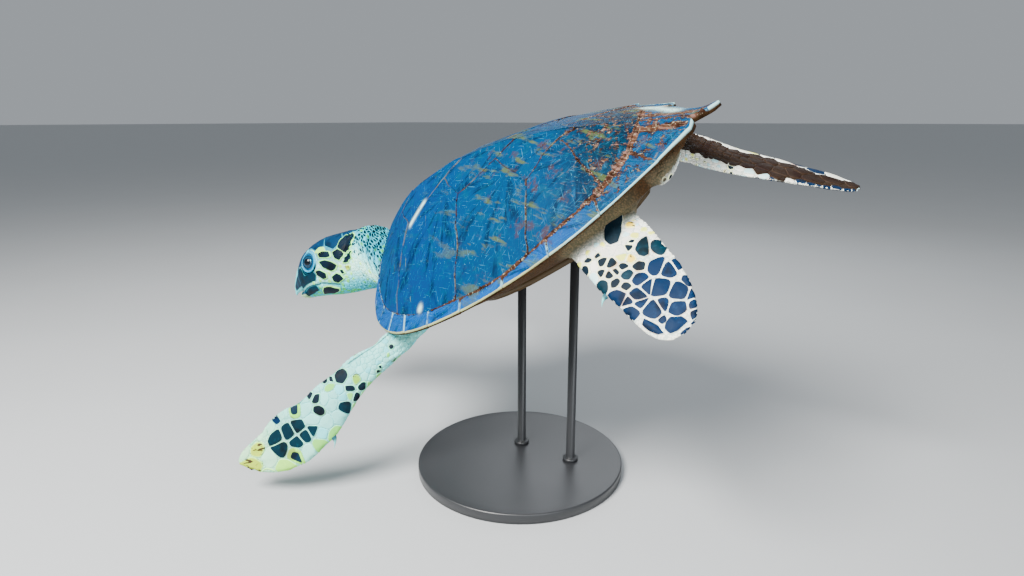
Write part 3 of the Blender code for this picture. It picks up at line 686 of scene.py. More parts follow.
# ---- Head and neck -----------------------------------------------------------------------------
HEAD_COLUMNS = 224
NECK_ROWS = 70
HEAD_ROWS = 110
SNOUT = 0.80            # head lengths, where the skin ends, under the beak
BLEND_ROWS = 6          # rows over which neck and skull run into each other
EYE_OPENING = (0.80, 0.76)   # eye radii, along the head and across
EYE_BACK = 0.25         # how far the gaze turns back from straight sideways
EYE_UP = 0.10
LID_RADIUS = 1.62       # eye radii, where the lids sink under the skin
SOCKET_RADIUS = 1.46    # eye radii, inside which the head's skin lies fully sunk
SOCKET_DEPTH = 0.75
LID_RINGS = 34
LID_TURNS = 128
BAG_PLACE = 1.43        # eye radii, how far out the deep fold under an eye runs
# The dark skin round the lids is painted shade.
UNDER_EYE = (1.88, 1.98)     # eye radii, over which the dark skin round the lids ends
NECK_SWELL = 0.022      # shell lengths, the loose skin of the nape where it folds under the shell


def head_row(x):
    """a of the head's chart, for a place along the head in head lengths."""
    return (NECK_ROWS + (np.asarray(x, float) - HEAD[0][0]) / (SNOUT - HEAD[0][0]) * (HEAD_ROWS - 1)) / (
        NECK_ROWS + HEAD_ROWS - 1)


def head_stations():
    """Centre, left, up, half width, above, below and squareness of each ring of neck and head."""
    origin, forward, side, up = head_frame()
    inset = SKIN_DEPTH / SHELL_LENGTH
    skull = HEAD[0]
    end = origin + (forward * skull[0] + up * (skull[2] + skull[3]) / 2) * HEAD_LENGTH
    spine = NECK_SPINE + [tuple(end)]
    rows = []
    for share in np.linspace(0, 1, NECK_ROWS, endpoint=False):
        centre = path(spine, share * 3)
        turn = share * share * (3 - 2 * share)
        across = unit((1 - turn) * np.array([0.0, 1.0, 0.0]) + turn * side)
        rise = (1 - turn) * np.array([0.0, 0.0, 1.0]) + turn * up
        rise = unit(rise - across * rise.dot(across))
        sizes = [size - inset for size in sizes_at(NECK_HALF, share * 3)]
        sizes[1] += NECK_SWELL * bell(share * 3, 1.3, 0.36)
        rows.append(np.concatenate([centre, across, rise, sizes, [2 + 0.3 * share]]))
    for x in np.linspace(HEAD[0][0], SNOUT, HEAD_ROWS):
        half, top, bottom = sizes_at(HEAD, x)
        taper = 1 - 0.5 * smooth(HEAD[-1][0], SNOUT + 0.02, x)
        centre = origin + (forward * x + up * (top + bottom) / 2) * HEAD_LENGTH
        tall = (top - bottom) / 2 * HEAD_LENGTH * taper - inset
        rows.append(np.concatenate([centre, side, up, [half * taper * HEAD_LENGTH - inset, tall, tall, 2.3]]))
    rows = np.array(rows)
    softer = rows.copy()
    for r in range(NECK_ROWS - 2 * BLEND_ROWS, NECK_ROWS + 2 * BLEND_ROWS):
        softer[r] = rows[r - BLEND_ROWS:r + BLEND_ROWS + 1].mean(0)
    return softer


def head_chart():
    grid = np.array([ring_from_top(r[:3], unit(r[3:6]), unit(r[6:9]), *r[9:], HEAD_COLUMNS)
                     for r in head_stations()])
    chart = Chart(grid)
    a, q = chart.turns()
    metres = chart.stretch[..., 1:] * SHELL_LENGTH
    neck = 1 - smooth(head_row(-0.14), head_row(0.02), a)
    fold = np.sin(a * 210 + 2.6 * noise(q * 9, a * 12, 0, 4) + 3.0 * noise(q * 3, 0, 0, 9))
    depth = 0.0014 * fold * neck * smooth(0.0, 0.06, a)
    depth += 0.0006 * noise(q * 30, a * 60, 0, 21) * neck
    x = HEAD[0][0] + (a * (NECK_ROWS + HEAD_ROWS - 1) - NECK_ROWS) / (HEAD_ROWS - 1) * (SNOUT - HEAD[0][0])
    reach = away(q) * metres[..., 0] / (SHELL_LENGTH * HEAD_LENGTH)
    mouth = curve(MOUTH_LINE, x)
    gape = bell(reach, mouth, 0.011) * smooth(0.06, 0.16, x)
    depth -= 0.0022 * gape
    depth += 0.0012 * bell(reach - mouth, 0.035, 0.02) * smooth(0.06, 0.16, x)
    chart.push(depth)
    # where the mouth line and the troughs of the neck's folds take painted shade
    chart.crease = np.clip(gape + 0.30 * neck * smooth(-0.2, -0.9, fold), 0, 1)
    return chart


MOUTH_LINE = [(-0.2, 0.77), (0.07, 0.755), (0.23, 0.72), (0.34, 0.680), (0.43, 0.650), (0.60, 0.56),
              (0.74, 0.48), (0.9, 0.44)]


def eye_axes(sign):
    """Centre of the left (1) or right (-1) eyeball, and its axes: outwards, forward and down."""
    origin, forward, side, up = head_frame()
    centre = origin + (forward * EYE[0] + side * EYE[1] * sign + up * EYE[2]) * HEAD_LENGTH
    out = unit(side * sign - forward * EYE_BACK + up * EYE_UP)
    along = unit(forward - out * forward.dot(out))
    return centre, out, along, unit(np.cross(out, along)) * sign


def sink_sockets(grid):
    """Presses the head's skin in behind the lids, so that the eyeball and the lids show instead."""
    grid = grid.copy()
    radius = EYE_RADIUS * HEAD_LENGTH
    for sign in (1, -1):
        centre, out, along, down = eye_axes(sign)
        offset = grid - centre
        near = np.hypot(offset @ along, offset @ down) / radius
        push = 1 - smooth(SOCKET_RADIUS, LID_RADIUS * 0.99, near)
        facing = offset @ out > -radius * 0.5
        grid -= out * (push * facing * radius * SOCKET_DEPTH)[..., None]
    return grid


def jawward(angle):
    """1 on the side of an eye that faces the jaw, which is in front of it and below."""
    return smooth(0.35, 0.60, np.cos(angle - 1.05))


def shade_under_eye(grid):
    """Where the bare skin is painted as dark as the jaw plate, as painted shade: close round an eye, below it
    and in front.
    """
    share = np.zeros(grid.shape[:2])
    for sign in (1, -1):
        centre, out, along, down = eye_axes(sign)
        offset = (grid - centre) / (EYE_RADIUS * HEAD_LENGTH)
        x, y = offset @ along, offset @ down
        near = 1 - smooth(*UNDER_EYE, np.hypot(x, y))
        share = np.maximum(share, near * jawward(np.arctan2(y, x)) * (offset @ out > -0.5))
    return share


def bag(angle):
    """Where the deep fold under an eye runs, from in front of it to behind and below it."""
    return smooth(-0.15, 0.35, np.sin(angle + 0.42))


def lids(chart, sign):
    """Two lids round an eye: a ring that rises over the eyeball and sinks into the skin outside."""
    tree = bvh_of(chart.grid)
    centre, out, along, down = eye_axes(sign)
    radius = EYE_RADIUS * HEAD_LENGTH
    angle = np.linspace(0, 2 * math.pi, LID_TURNS, endpoint=False)
    share = np.linspace(0, 1, LID_RINGS)[:, None]
    opening = 1 / np.sqrt((np.cos(angle) / EYE_OPENING[0]) ** 2 + (np.sin(angle) / EYE_OPENING[1]) ** 2)
    opening *= 1 - 0.10 * bell(np.cos(angle), 0.85, 0.16)
    far = LID_RADIUS * (1 + 0.05 * np.sin(angle * 2))
    r = opening + (far - opening) * share**1.25
    ahead, below = (radius * (r * turned)[..., None] for turned in (np.cos(angle), np.sin(angle)))
    spot = centre + ahead * along + below * down
    skin = np.zeros_like(r)
    for i, j in np.ndindex(r.shape):
        start = spot[i, j] + out * 3 * radius
        hit = tree.ray_cast(Vector(start), Vector(-out))
        skin[i, j] = np.dot(np.array(hit[0]) - spot[i, j], out) / radius if hit[0] else 0.0
    ball = np.sqrt(np.clip(1.07**2 - np.minimum(r, 1.05) ** 2, 0, 1))
    over = 1 - smooth(0.84, 1.22, r)
    front = 0.5 + 0.5 * np.cos(angle + 0.3)
    crease = -0.05 * bell(r, 1.02, 0.05) - 0.34 * bag(angle) * bell(r, BAG_PLACE, 0.055)
    bulge = (0.13 + 0.20 * front) * bell(r, 1.22, 0.17)
    fold = 0.022 * np.sin(angle * 26 + 3 * noise(angle * 3, r * 4))
    fold = fold * smooth(0.95, 1.15, r) * (1 - smooth(1.3, 1.5, r))
    height = np.maximum(skin, ball * over + skin * (1 - over)) + crease + bulge + fold
    height -= 0.175 * (1 - smooth(0.0, 0.05, share))
    height -= 0.10 * smooth(0.9, 1.0, share)
    grid = spot + out * (height * radius)[..., None]
    return grid, r, angle


def bvh_of(grid):
    points = [tuple(p) for p in grid.reshape(-1, 3)]
    faces = [tuple(map(int, f)) for f in grid_faces(*grid.shape[:2])]
    return BVHTree.FromPolygons(points, faces)


# ---- Flippers, tail and trunk ------------------------------------------------------------------
FIN_COLUMNS = 144
FIN_ROWS = 150
FOLD_TURN = 0.555       # q of the long fold behind the arm, on a front flipper's lower face
FOLD_END = (0.36, 0.41)  # share of the flipper over which it runs out
TRUNK_ROWS = 96
TRUNK_COLUMNS = 160
TRUNK_CAP = 14          # rings of each rounded end of the trunk
TRUNK_FRONT = 0.925     # shell lengths, where its front end begins to round


def fin_chart(key, fin):
    """A flipper's chart: q starts at the leading edge and goes round by the upper face."""
    inset = SKIN_DEPTH / SHELL_LENGTH
    share = np.linspace(0, 1, FIN_ROWS)
    centre, lead, normal, (front, back, thick) = fin_frame(fin, share)
    angle = np.linspace(0, 2 * math.pi, 361)
    along = np.cos(angle)
    rings = []
    for r in range(FIN_ROWS):
        reach = np.where(along > 0, max(front[r] - inset, 0.004), max(back[r] - inset, 0.004)) * along
        depth = np.sin(angle) * max(thick[r] - 2 * inset, 0.003) / 2 * (0.72 + 0.28 * along)
        ring = centre[r] + np.outer(reach, lead[r]) + np.outer(depth, normal[r])
        rings.append(even_ring(ring, FIN_COLUMNS))
    chart = Chart(np.array(rings))
    a, q = chart.turns()
    across, rise = np.cos(q * 6.283), np.sin(q * 6.283)
    fold = np.sin(a * 60 + 3 * np.cos(q * 4 * math.pi) + 1.5 * noise(a * 9, across * 4, 0, 3))
    depth = 0.0012 * fold * (1 - smooth(0.15, 0.34, a)) + 0.0010 * noise(a * 9, across * 3, rise * 3, 8)
    depth *= 1 - smooth(0.9, 1.0, a)
    if key.startswith("front"):
        chart.crease = bell(q, FOLD_TURN, 0.007) * smooth(0.06, 0.10, a) * (1 - smooth(*FOLD_END, a))
        wave = 0.5 + 0.5 * np.sin(a * 46 + 2.0 * noise(a * 7, 0.0, 0.0, 12))
        wave = wave * smooth(0.42, 0.49, 0.5 - np.abs(q - 0.5)) * (1 - smooth(0.6, 0.8, a))
        depth -= 0.0030 * (chart.crease + wave)
    chart.push(depth)
    return chart


def tail_chart():
    inset = SKIN_DEPTH / SHELL_LENGTH
    count = len(TAIL) - 1
    centres = np.array([c for c, _ in TAIL])
    radii = list(enumerate(r for _, r in TAIL))
    grid = []
    for at in np.linspace(0, count, 60):
        centre = path(centres, at)
        ahead = unit(path(centres, min(at + 0.05, count)) - path(centres, max(at - 0.05, 0)))
        side = unit(np.cross(ahead, (0, 0, 1)))
        radius = float(curve(radii, at)) - inset
        flat = radius * 0.8
        grid.append(ring_from_top(centre, side, np.cross(side, ahead), radius, flat, flat, 2.0, 72))
    return Chart(np.array(grid))


def trunk_chart():
    """The body under the shell, between the plates above and the plastron below, with rounded ends."""
    clear = (SCUTE_THICKNESS + 0.0014) / SHELL_LENGTH
    floor = PLASTRON_THICKNESS + 0.0015
    rings = []
    half_knots = RUMP + [(x, float(inner_half(x)) - 0.0085) for x in np.linspace(0.15, TRUNK_FRONT, 24)]
    for x in np.linspace(RUMP[0][0], TRUNK_FRONT, TRUNK_ROWS):
        half = float(curve(half_knots, x))
        turn = np.linspace(-1, 1, TRUNK_COLUMNS // 2)
        top = half * np.sin(turn * math.pi / 2)
        upper = np.column_stack([np.full(len(top), x), top, dome(x, top) - clear])
        blend = smooth(0.10, 0.16, x)
        upper[:, 2] = upper[:, 2] * blend + (RUMP_TOP - 0.002) * (1 - blend)
        low = top[::-1] * 0.985
        lower = np.column_stack([np.full(len(low), x), low, belly(x, low) + floor])
        lower[:, 2] = np.minimum(lower[:, 2], np.interp(low, top, upper[:, 2]) - 0.002)
        rings.append(np.concatenate([upper, lower]))
    front, rear = rings[-1], rings[0]
    for turn in np.linspace(math.pi / 2, 0.08, TRUNK_CAP)[1:]:
        shrunk = front.mean(0) + (front - front.mean(0)) * math.sin(turn)
        rings.append(shrunk + (0.022 * math.cos(turn), 0, 0))
        shrunk = rear.mean(0) + (rear - rear.mean(0)) * math.sin(turn)
        rings.insert(0, shrunk - (0.012 * math.cos(turn), 0, 0))
    return Chart(np.array(rings))


# ---- Joints of the flesh -----------------------------------------------------------------------
FILLET = 0.034          # shell lengths, the reach of the rounded hollow where a limb joins the trunk
TAIL_FILLET = 0.020
SCALES_END = 0.45       # nearness to a joint, from 0 to 1, where the scales of a limb stop
TAIL_SCALES_END = 0.85


def gap_from(grid, points):
    """Distance of points outside a closed grid of rings, in shell lengths, less than zero inside it."""
    places, faces = loft_grid(grid)
    tree = BVHTree.FromPolygons([tuple(p) for p in places], [tuple(map(int, f)) for b in faces for f in b])
    gaps = []
    for point in points.reshape(-1, 3):
        spot = Vector(point)
        near, normal, _, gap = tree.find_nearest(spot, 3 * FILLET)
        gaps.append(1.0 if near is None else math.copysign(gap, (spot - near).dot(normal)))
    return np.array(gaps).reshape(points.shape[:-1])


def swell(gap, reach):
    """How far one surface stands out, at a distance from the other, for a round hollow between them."""
    hollow = (math.sqrt(reach) - np.sqrt(np.clip(gap, 0, reach))) ** 2
    buried = reach / 2 * np.exp(3 * np.minimum(gap, 0) / reach)
    return np.where(gap > reach / 4, hollow, np.where(gap > 0, reach / 2 - gap, buried))


def melt(trunk, limbs):
    """Lets the trunk and its limbs swell into each other, and notes on each chart how near the joint is."""
    height = trunk.joint = np.zeros(trunk.grid.shape[:2])
    for key, chart in limbs.items():
        reach = TAIL_FILLET if key == "tail" else FILLET
        around, inwards = gap_from(chart.grid, trunk.grid), gap_from(trunk.grid, chart.grid)
        height = np.maximum(height, swell(around, reach))
        trunk.joint = np.maximum(trunk.joint, 1 - smooth(0.1 * reach, 1.3 * reach, around))
        chart.joint = 1 - smooth(0.1 * reach, 1.3 * reach, inwards)
        chart.push(swell(inwards, reach) * SHELL_LENGTH)
    trunk.push(height * SHELL_LENGTH)


# ---- Coat of scales ----------------------------------------------------------------------------
CREAM = np.array((0.82, 0.78, 0.62))
# painted shade: the trunk's pale skin under the shell, painted dark brown as it shows in shade
UNDER_SHADE_BROWN = np.array((0.075, 0.036, 0.014))
# partly painted shade: halfway between a limb's pale skin and the trunk's painted shade brown, which the
# limbs darken to where they run under the shell
JOINT_SHADE_TINT = np.array((0.170, 0.130, 0.075))   # where a limb's pale skin runs into the brown trunk


def mix(a, b, share):
    share = np.asarray(share, float)[..., None]
    return np.asarray(a) * (1 - share) + np.asarray(b) * share


def clipped(polygon, normal, offset):
    """The part of a polygon where normal . point is at most offset."""
    side = polygon @ normal - offset
    kept = []
    for k in range(len(polygon)):
        a, b = polygon[k], polygon[(k + 1) % len(polygon)]
        if side[k] <= 0:
            kept.append(a)
        if (side[k] <= 0) != (side[(k + 1) % len(polygon)] <= 0):
            kept.append(a + (b - a) * side[k] / (side[k] - side[(k + 1) % len(polygon)]))
    return np.array(kept)


def even_outline(polygon, count):
    return even_ring(np.concatenate([polygon, polygon[:1]]), count)


CELL_CORNERS = 12
CELL_REACH = 2.1        # scale radii, the most that a cell reaches out from its seed
NEIGHBOUR_REACH = 2.4   # radii of both seeds together, within which they share a border


def scale_cells(chart, seeds, gap, count):
    """For each seed that is built, its cell outline as offsets in shell lengths, along and across."""
    a, q, radius, built = seeds["a"], seeds["q"], seeds["radius"], seeds["built"]
    spots = chart.at(a, q)
    stretch = chart.look(chart.stretch, a, q)
    turns = np.linspace(0, 2 * math.pi, CELL_CORNERS, endpoint=False)
    corners = np.array([(math.cos(turn), math.sin(turn)) for turn in turns])
    cells = []
    for i in range(len(a)):
        if not built[i]:
            cells.append(None)
            continue
        apart = np.linalg.norm(spots - spots[i], axis=1)
        near = np.where((apart < (radius + radius[i]) * NEIGHBOUR_REACH) & (np.arange(len(a)) != i))[0]
        polygon = corners * radius[i] * CELL_REACH
        for j in near[np.argsort(apart[near])]:
            offset = np.array([(a[j] - a[i]) * stretch[i, 0],
                               ((q[j] - q[i] + 0.5) % 1.0 - 0.5) * stretch[i, 1]])
            length = np.linalg.norm(offset)
            if length < 1e-6:
                continue
            reach = length / 2 + (radius[i] ** 2 - radius[j] ** 2) / (2 * length) - gap / 2
            polygon = clipped(polygon, offset / length, reach)
            if len(polygon) < 3:
                break
        cells.append(even_outline(rounded(polygon), count) if len(polygon) >= 3 else None)
    return cells


SMALLEST_SCALE = 0.0009   # metres, the least radius of a scale that is built
ROUND_EDGE = 0.0012     # metres, the width over which a scale's edge rounds down
ROOT_DEPTH = 0.45       # how far its edge reaches under the skin, as a share of its rise
PATCH_SIZE = 0.0015     # each scale's size in the OFBake map
# How far in the rings of a scale's edge lie, and the most of a small scale's size that they take.
BEVEL = np.array((0.0, 0.0002, 0.0006, 0.0013)) / SHELL_LENGTH
BEVEL_SHARE = np.array((0.0, 0.15, 0.3, 0.5))


def coat(name, chart, seeds, finish, gap=0.0006, count=12, cells=None):
    """Domed scales over a chart, joined in one mesh, each with a small patch of its own in the OFBake map."""
    if cells is None:
        cells = scale_cells(chart, seeds, gap / SHELL_LENGTH, count)
    else:
        count = len(cells[0])
    rows = [i for i, cell in enumerate(cells) if cell is not None]
    outlines = np.array([cells[i] for i in rows])
    a, q = seeds["a"][rows], seeds["q"][rows]
    size = np.sqrt(np.abs(np.sum(outlines[..., 0] * np.roll(outlines[..., 1], -1, 1)
                                 - outlines[..., 1] * np.roll(outlines[..., 0], -1, 1), 1)) / 2 / math.pi)
    good = size > SMALLEST_SCALE / SHELL_LENGTH
    rows, outlines, a, q, size = np.array(rows)[good], outlines[good], a[good], q[good], size[good]
    stretch = chart.look(chart.stretch, a, q)
    middle = outlines.mean(1, keepdims=True)
    wide = size[:, None]
    band = np.minimum(seeds["band"][rows, None] / SHELL_LENGTH, wide * 0.8)
    inwards = np.concatenate([np.minimum(BEVEL, wide * BEVEL_SHARE), band - 0.02 * wide, band + 0.02 * wide,
                              0.6 * wide + 0.4 * band], 1)
    inwards = np.sort(np.maximum(inwards, 0), 1)
    shares = np.concatenate([1 - inwards / wide, np.zeros((len(rows), 1))], 1)
    heights = 1 - np.clip(1 - inwards * SHELL_LENGTH / ROUND_EDGE, 0, 1) ** 2
    heights = np.concatenate([heights, np.ones((len(rows), 1))], 1)
    heights[:, 0] = -ROOT_DEPTH
    local = middle[:, None] + (outlines - middle)[:, None] * shares[:, :, None, None]
    rise = seeds["rise"][rows, None] * heights
    crown = seeds["crown"][rows, None] * (1 - shares**2) * (heights > 0)
    tall = (rise + crown) / SHELL_LENGTH
    tall = np.broadcast_to(tall[..., None], local.shape[:3])
    a, q, size, stretch = a[:, None, None], q[:, None, None], size[:, None, None], stretch[:, None, None]
    la = np.clip(a + local[..., 0] / stretch[..., 0], 0.0, 1.0)
    lq = q + local[..., 1] / stretch[..., 1]
    levels = shares.shape[1]
    u = 0.01 + 0.98 * a + PATCH_SIZE * local[..., 0] / size
    v = 0.01 + 0.98 * np.mod(q, 1.0) + PATCH_SIZE * local[..., 1] / size
    per = (levels - 1) * count + 1
    points = chart.at(la, lq, tall).reshape(len(rows), -1, 3)[:, :per]
    uv = np.stack([u, v], -1).reshape(len(rows), -1, 2)[:, :per]
    ring = np.broadcast_to(shares[:, :, None], local.shape[:3]).reshape(len(rows), -1)[:, :per]
    quads, fan = grid_faces(levels - 1, count), fan_faces((levels - 2) * count, count, per - 1)
    outward = np.sum(np.cross(points[0, 1] - points[0, 0], points[0, count] - points[0, 0])
                     * chart.look(chart.normals, a[0, 0], q[0, 0])[0])
    if outward < 0:
        quads, fan = quads[:, ::-1], fan[:, ::-1]
    start = (np.arange(len(rows)) * per)[:, None, None]
    faces = [(quads[None] + start).reshape(-1, 4), (fan[None] + start).reshape(-1, 3)]
    tint = colours_of({**{key: value[rows] for key, value in seeds.items()}, "size": wide}, ring)
    made = build(name, points.reshape(-1, 3), faces, finish, {
        "tint": tint.reshape(-1, 3),
        "dark": np.repeat(seeds["dark"][rows], per),
        "amber": np.repeat((seeds["mark"][rows] == mark("amber")).astype(float), per)})
    layer = made.data.uv_layers.new(name="OFBake")
    corner = np.empty(len(made.data.loops), int)
    made.data.loops.foreach_get("vertex_index", corner)
    layer.data.foreach_set("uv", uv.reshape(-1, 2)[corner].astype(np.float32).ravel())
    return made


SEED_TRIES = 26000
SEED_CLOSENESS = 0.86   # how near two seeds may stand, as a share of their radii together
SEARCH_CELL = 0.03      # shell lengths, the boxes in which near seeds are looked for


def crowded(table, spot, radius):
    """Whether a seed would stand too near one that is placed already."""
    for step in np.ndindex(3, 3, 3):
        key = tuple((np.floor(spot / SEARCH_CELL).astype(int) + step - 1).tolist())
        for other, size in table.get(key, ()):
            limit = (radius + size) * SEED_CLOSENESS
            if np.sum((spot - other) ** 2) < limit * limit:
                return True
    return False


def scatter(chart, named, size_at, start, end, seed):
    """Seeds: the named ones first, then others thrown between them as close as their sizes allow."""
    a, q, radius = np.array([n[:3] for n in named], float).reshape(-1, 3).T
    q, radius = q % 1.0, radius / SHELL_LENGTH
    number = np.arange(SEED_TRIES)
    ta = start + (end - start) * hashed(number, seed, 1)
    tq = hashed(number, seed, 2)
    weight = np.prod(chart.look(chart.stretch, ta, tq), axis=-1)
    wanted = size_at(ta, tq) / SHELL_LENGTH
    spot = chart.at(ta, tq)
    chance = weight / weight.max() * (wanted.min() / wanted) ** 1.2 * 2.2
    keep = hashed(number, seed, 3) < np.minimum(1, chance)
    table = {}

    def put(s, r):
        key = tuple(np.floor(s / SEARCH_CELL).astype(int).tolist())
        table.setdefault(key, []).append((s, r))

    for s, r in zip(chart.at(a, q), radius):
        put(s, r)
    chosen = []
    for n in number[keep]:
        if not crowded(table, spot[n], wanted[n]):
            chosen.append(n)
            put(spot[n], wanted[n])
    chosen = np.array(chosen, int)
    return [np.concatenate(pair) for pair in ((a, ta[chosen]), (q, tq[chosen]), (radius, wanted[chosen]))]


# ---- Markings: the colour in the middle of a scale, at its edge, and the width of the edge in metres
MARKS = {
    "crown": ((0.001, 0.026, 0.075), (0.004, 0.080, 0.170), 0.0007),
    "cheek": ((0.001, 0.008, 0.018), (0.600, 0.800, 0.220), 0.0024),
    "jaw": ((0.001, 0.018, 0.034), (0.050, 0.220, 0.240), 0.0008),
    "spot": ((0.003, 0.010, 0.018), (0.860, 0.860, 0.500), 0.0017),
    "distal": ((0.0005, 0.014, 0.048), (0.860, 0.880, 0.760), 0.0007),
    "teal": ((0.002, 0.018, 0.030), (0.860, 0.870, 0.660), 0.0009),
    "nape": ((0.001, 0.022, 0.034), (0.900, 0.900, 0.800), 0.0007),
    "lime": ((0.760, 0.760, 0.130), (0.860, 0.880, 0.400), 0.0012),
    "cream": ((0.800, 0.780, 0.620), (0.880, 0.860, 0.740), 0.0008),
    "cyan": ((0.500, 0.760, 0.700), (0.640, 0.860, 0.820), 0.0008),
    "halo": ((0.003, 0.016, 0.032), (0.800, 0.800, 0.110), 0.0060),
    "amber": ((0.820, 0.560, 0.050), (0.860, 0.800, 0.260), 0.0022),
    "slate": ((0.003, 0.011, 0.018), (0.860, 0.860, 0.700), 0.0006),
    # painted shade: the dark brown of the far hind flipper's shaded lower face
    "shade_umber": ((0.018, 0.009, 0.005), (0.032, 0.017, 0.009), 0.0010),
}
MARK_NAMES = list(MARKS)
CORE = np.array([MARKS[m][0] for m in MARK_NAMES])
EDGE = np.array([MARKS[m][1] for m in MARK_NAMES])
BAND = np.array([MARKS[m][2] for m in MARK_NAMES])
DARK = np.array([m not in ("lime", "cream", "cyan", "amber") for m in MARK_NAMES], float)


def mark(name):
    return MARK_NAMES.index(name)


def chosen_marks(chance, table, otherwise):
    """Marks drawn by chance: table holds (name, probability array)."""
    result = np.full(len(chance), mark(otherwise))
    floor = np.zeros(len(chance))
    for name, share in table:
        result[(chance >= floor) & (chance < floor + share)] = mark(name)
        floor = floor + share
    return result


def colours_of(seeds, ring):
    """Colours of the points of scales, which lie at the ring share of each scale's outline."""
    pale = seeds["dark"][:, None] < 0.5
    core = CORE[seeds["mark"]] * np.where(pale, seeds["wash"], 1)
    edge = EDGE[seeds["mark"]] * np.where(seeds["mark"][:, None] == mark("crown"), 1, seeds["wash"])
    spread = 1 - seeds["band"][:, None] / (seeds["size"] * SHELL_LENGTH)
    outer = smooth(-0.02, 0.02, ring - np.clip(spread, 0.15, 1))
    tone = 1 + 0.22 * (hashed(np.arange(len(core)), 11) - 0.5)[:, None, None]
    found = mix(core[:, None], edge[:, None], outer) * tone
    # near a joint, scales darken into the half painted shade of the joint tint
    joint = smooth(0.35, 1.0, seeds["joint"])[:, None]
    return mix(found, JOINT_SHADE_TINT, 0.85 * np.broadcast_to(joint, ring.shape))


LID_CYAN = np.array((0.030, 0.440, 0.680))
LID_BLUE = np.array((0.004, 0.080, 0.190))
LID_DARK = np.array((0.002, 0.018, 0.045))


def wash_of(part, a, q):
    """What tints a part's pale colours: cyan on nape, throat and the foreflippers' roots, cream behind."""
    around = away(q)
    if part == "head":
        cyan = np.maximum(1 - smooth(0.12, 0.26, around), smooth(0.28, 0.40, around))
        return mix((0.58, 1.15, 1.16), (0.06, 0.64, 0.88), cyan)
    if part.startswith("front"):
        return mix((0.30, 0.88, 1.00), (0.55, 1.05, 0.76), smooth(0.55, 1.0, a))
    return mix((1.08, 1.10, 1.20), (1.08, 1.10, 1.20), a)


def seeds_for(chart, part, named, size_at, rule, start, end, seed):
    """Named scales, (a, q, radius, mark, built), and others between them, marked by a rule."""
    a, q, radius = scatter(chart, named, size_at, start, end, seed)
    count = len(named)
    marks = rule(a, q, hashed(np.arange(len(a)), seed, 5))
    marks[:count] = [mark(n[3]) for n in named]
    built = np.ones(len(a), bool)
    built[:count] = [n[4] for n in named]
    thick = SCALE_RISE * smooth(0.0, 0.004, radius * SHELL_LENGTH)
    thick = thick * (0.75 + 0.25 * hashed(np.arange(len(a)), seed, 6))
    joint = chart.look(chart.joint[..., None], a, q)[..., 0]
    thick *= 1 - 0.9 * smooth(0.2, 0.8, joint)
    built &= joint < (TAIL_SCALES_END if part == "tail" else SCALES_END)
    return {"a": a, "q": q, "radius": radius, "mark": marks, "built": built, "rise": thick,
            "dark": DARK[marks], "wash": wash_of(part, a, q % 1.0), "joint": joint,
            "crown": 0.03 * radius * SHELL_LENGTH, "band": BAND[marks]}


# Head plates: mark, then corners as (place along the head, arc from the midline), in head lengths, each
# picked on the photo. The first group is on both sides, the second crosses the midline.
HEAD_PLATES = {
    "temporal_great": ("cheek", [(0.0, 0.315), (-0.04, 0.22), (-0.10, 0.15), (-0.17, 0.15), (-0.23, 0.23),
        (-0.20, 0.32), (-0.10, 0.375), (-0.055, 0.355)]),
    "temporal_front": ("cheek", [(0.07, 0.365), (0.0, 0.34), (-0.055, 0.37), (-0.08, 0.395), (-0.01, 0.465),
        (0.05, 0.43)]),
    "temporal_low": ("cheek", [(-0.05, 0.495), (-0.10, 0.425), (-0.16, 0.39), (-0.19, 0.40), (-0.16, 0.445),
        (-0.09, 0.49)]),
    "postocular_top": ("cheek", [(0.29, 0.345), (0.245, 0.33), (0.12, 0.355), (0.11, 0.40), (0.16, 0.405),
        (0.275, 0.38)]),
    "postocular_middle": ("cheek", [(0.28, 0.44), (0.20, 0.44), (0.09, 0.485), (0.04, 0.525), (0.07, 0.555),
        (0.125, 0.57), (0.24, 0.505)]),
    "postocular_low": ("cheek", [(0.37, 0.52), (0.305, 0.535), (0.22, 0.595), (0.23, 0.635), (0.28, 0.64),
        (0.36, 0.56)]),
    "cheek": ("cheek", [(0.155, 0.645), (0.075, 0.61), (0.03, 0.635), (0.01, 0.68), (0.105, 0.715),
        (0.155, 0.695)]),
    "cheek_small": ("cheek", [(0.01, 0.58), (-0.015, 0.58), (-0.03, 0.615), (-0.005, 0.62)]),
    "cheek_dot": ("amber", [(-0.07, 0.54), (-0.095, 0.53), (-0.12, 0.54), (-0.08, 0.575)]),
    "jaw": ("cheek", [(0.41, 0.755), (0.34, 0.735), (0.24, 0.755), (0.15, 0.80), (0.17, 0.83),
        (0.29, 0.865), (0.45, 0.79)]),
    "mandible": ("jaw", [(0.745, 0.50), (0.58, 0.585), (0.46, 0.65), (0.435, 0.675), (0.46, 0.71),
        (0.60, 0.665), (0.745, 0.56)]),
    "maxillary": ("jaw", [(0.748, 0.20), (0.69, 0.235), (0.66, 0.29), (0.65, 0.34), (0.62, 0.405),
        (0.565, 0.45), (0.49, 0.475), (0.42, 0.49), (0.38, 0.545), (0.42, 0.60), (0.56, 0.545),
        (0.66, 0.49), (0.748, 0.44)]),
    "brow": ("lime", [(0.33, 0.305), (0.27, 0.275), (0.215, 0.285), (0.20, 0.315), (0.27, 0.325)]),
    "supraocular": ("crown", [(0.555, 0.105), (0.27, 0.115), (0.215, 0.25), (0.32, 0.29), (0.375, 0.245),
        (0.455, 0.175)]),
    "parietal": ("crown", [(0.25, 0.115), (0.195, 0.255), (0.07, 0.32), (0.005, 0.285), (-0.04, 0.19),
        (0.02, 0.10)]),
    "prefrontal": ("crown", [(0.735, 0.008), (0.735, 0.18), (0.655, 0.24), (0.575, 0.115), (0.59, 0.05),
        (0.60, 0.008)]),
}
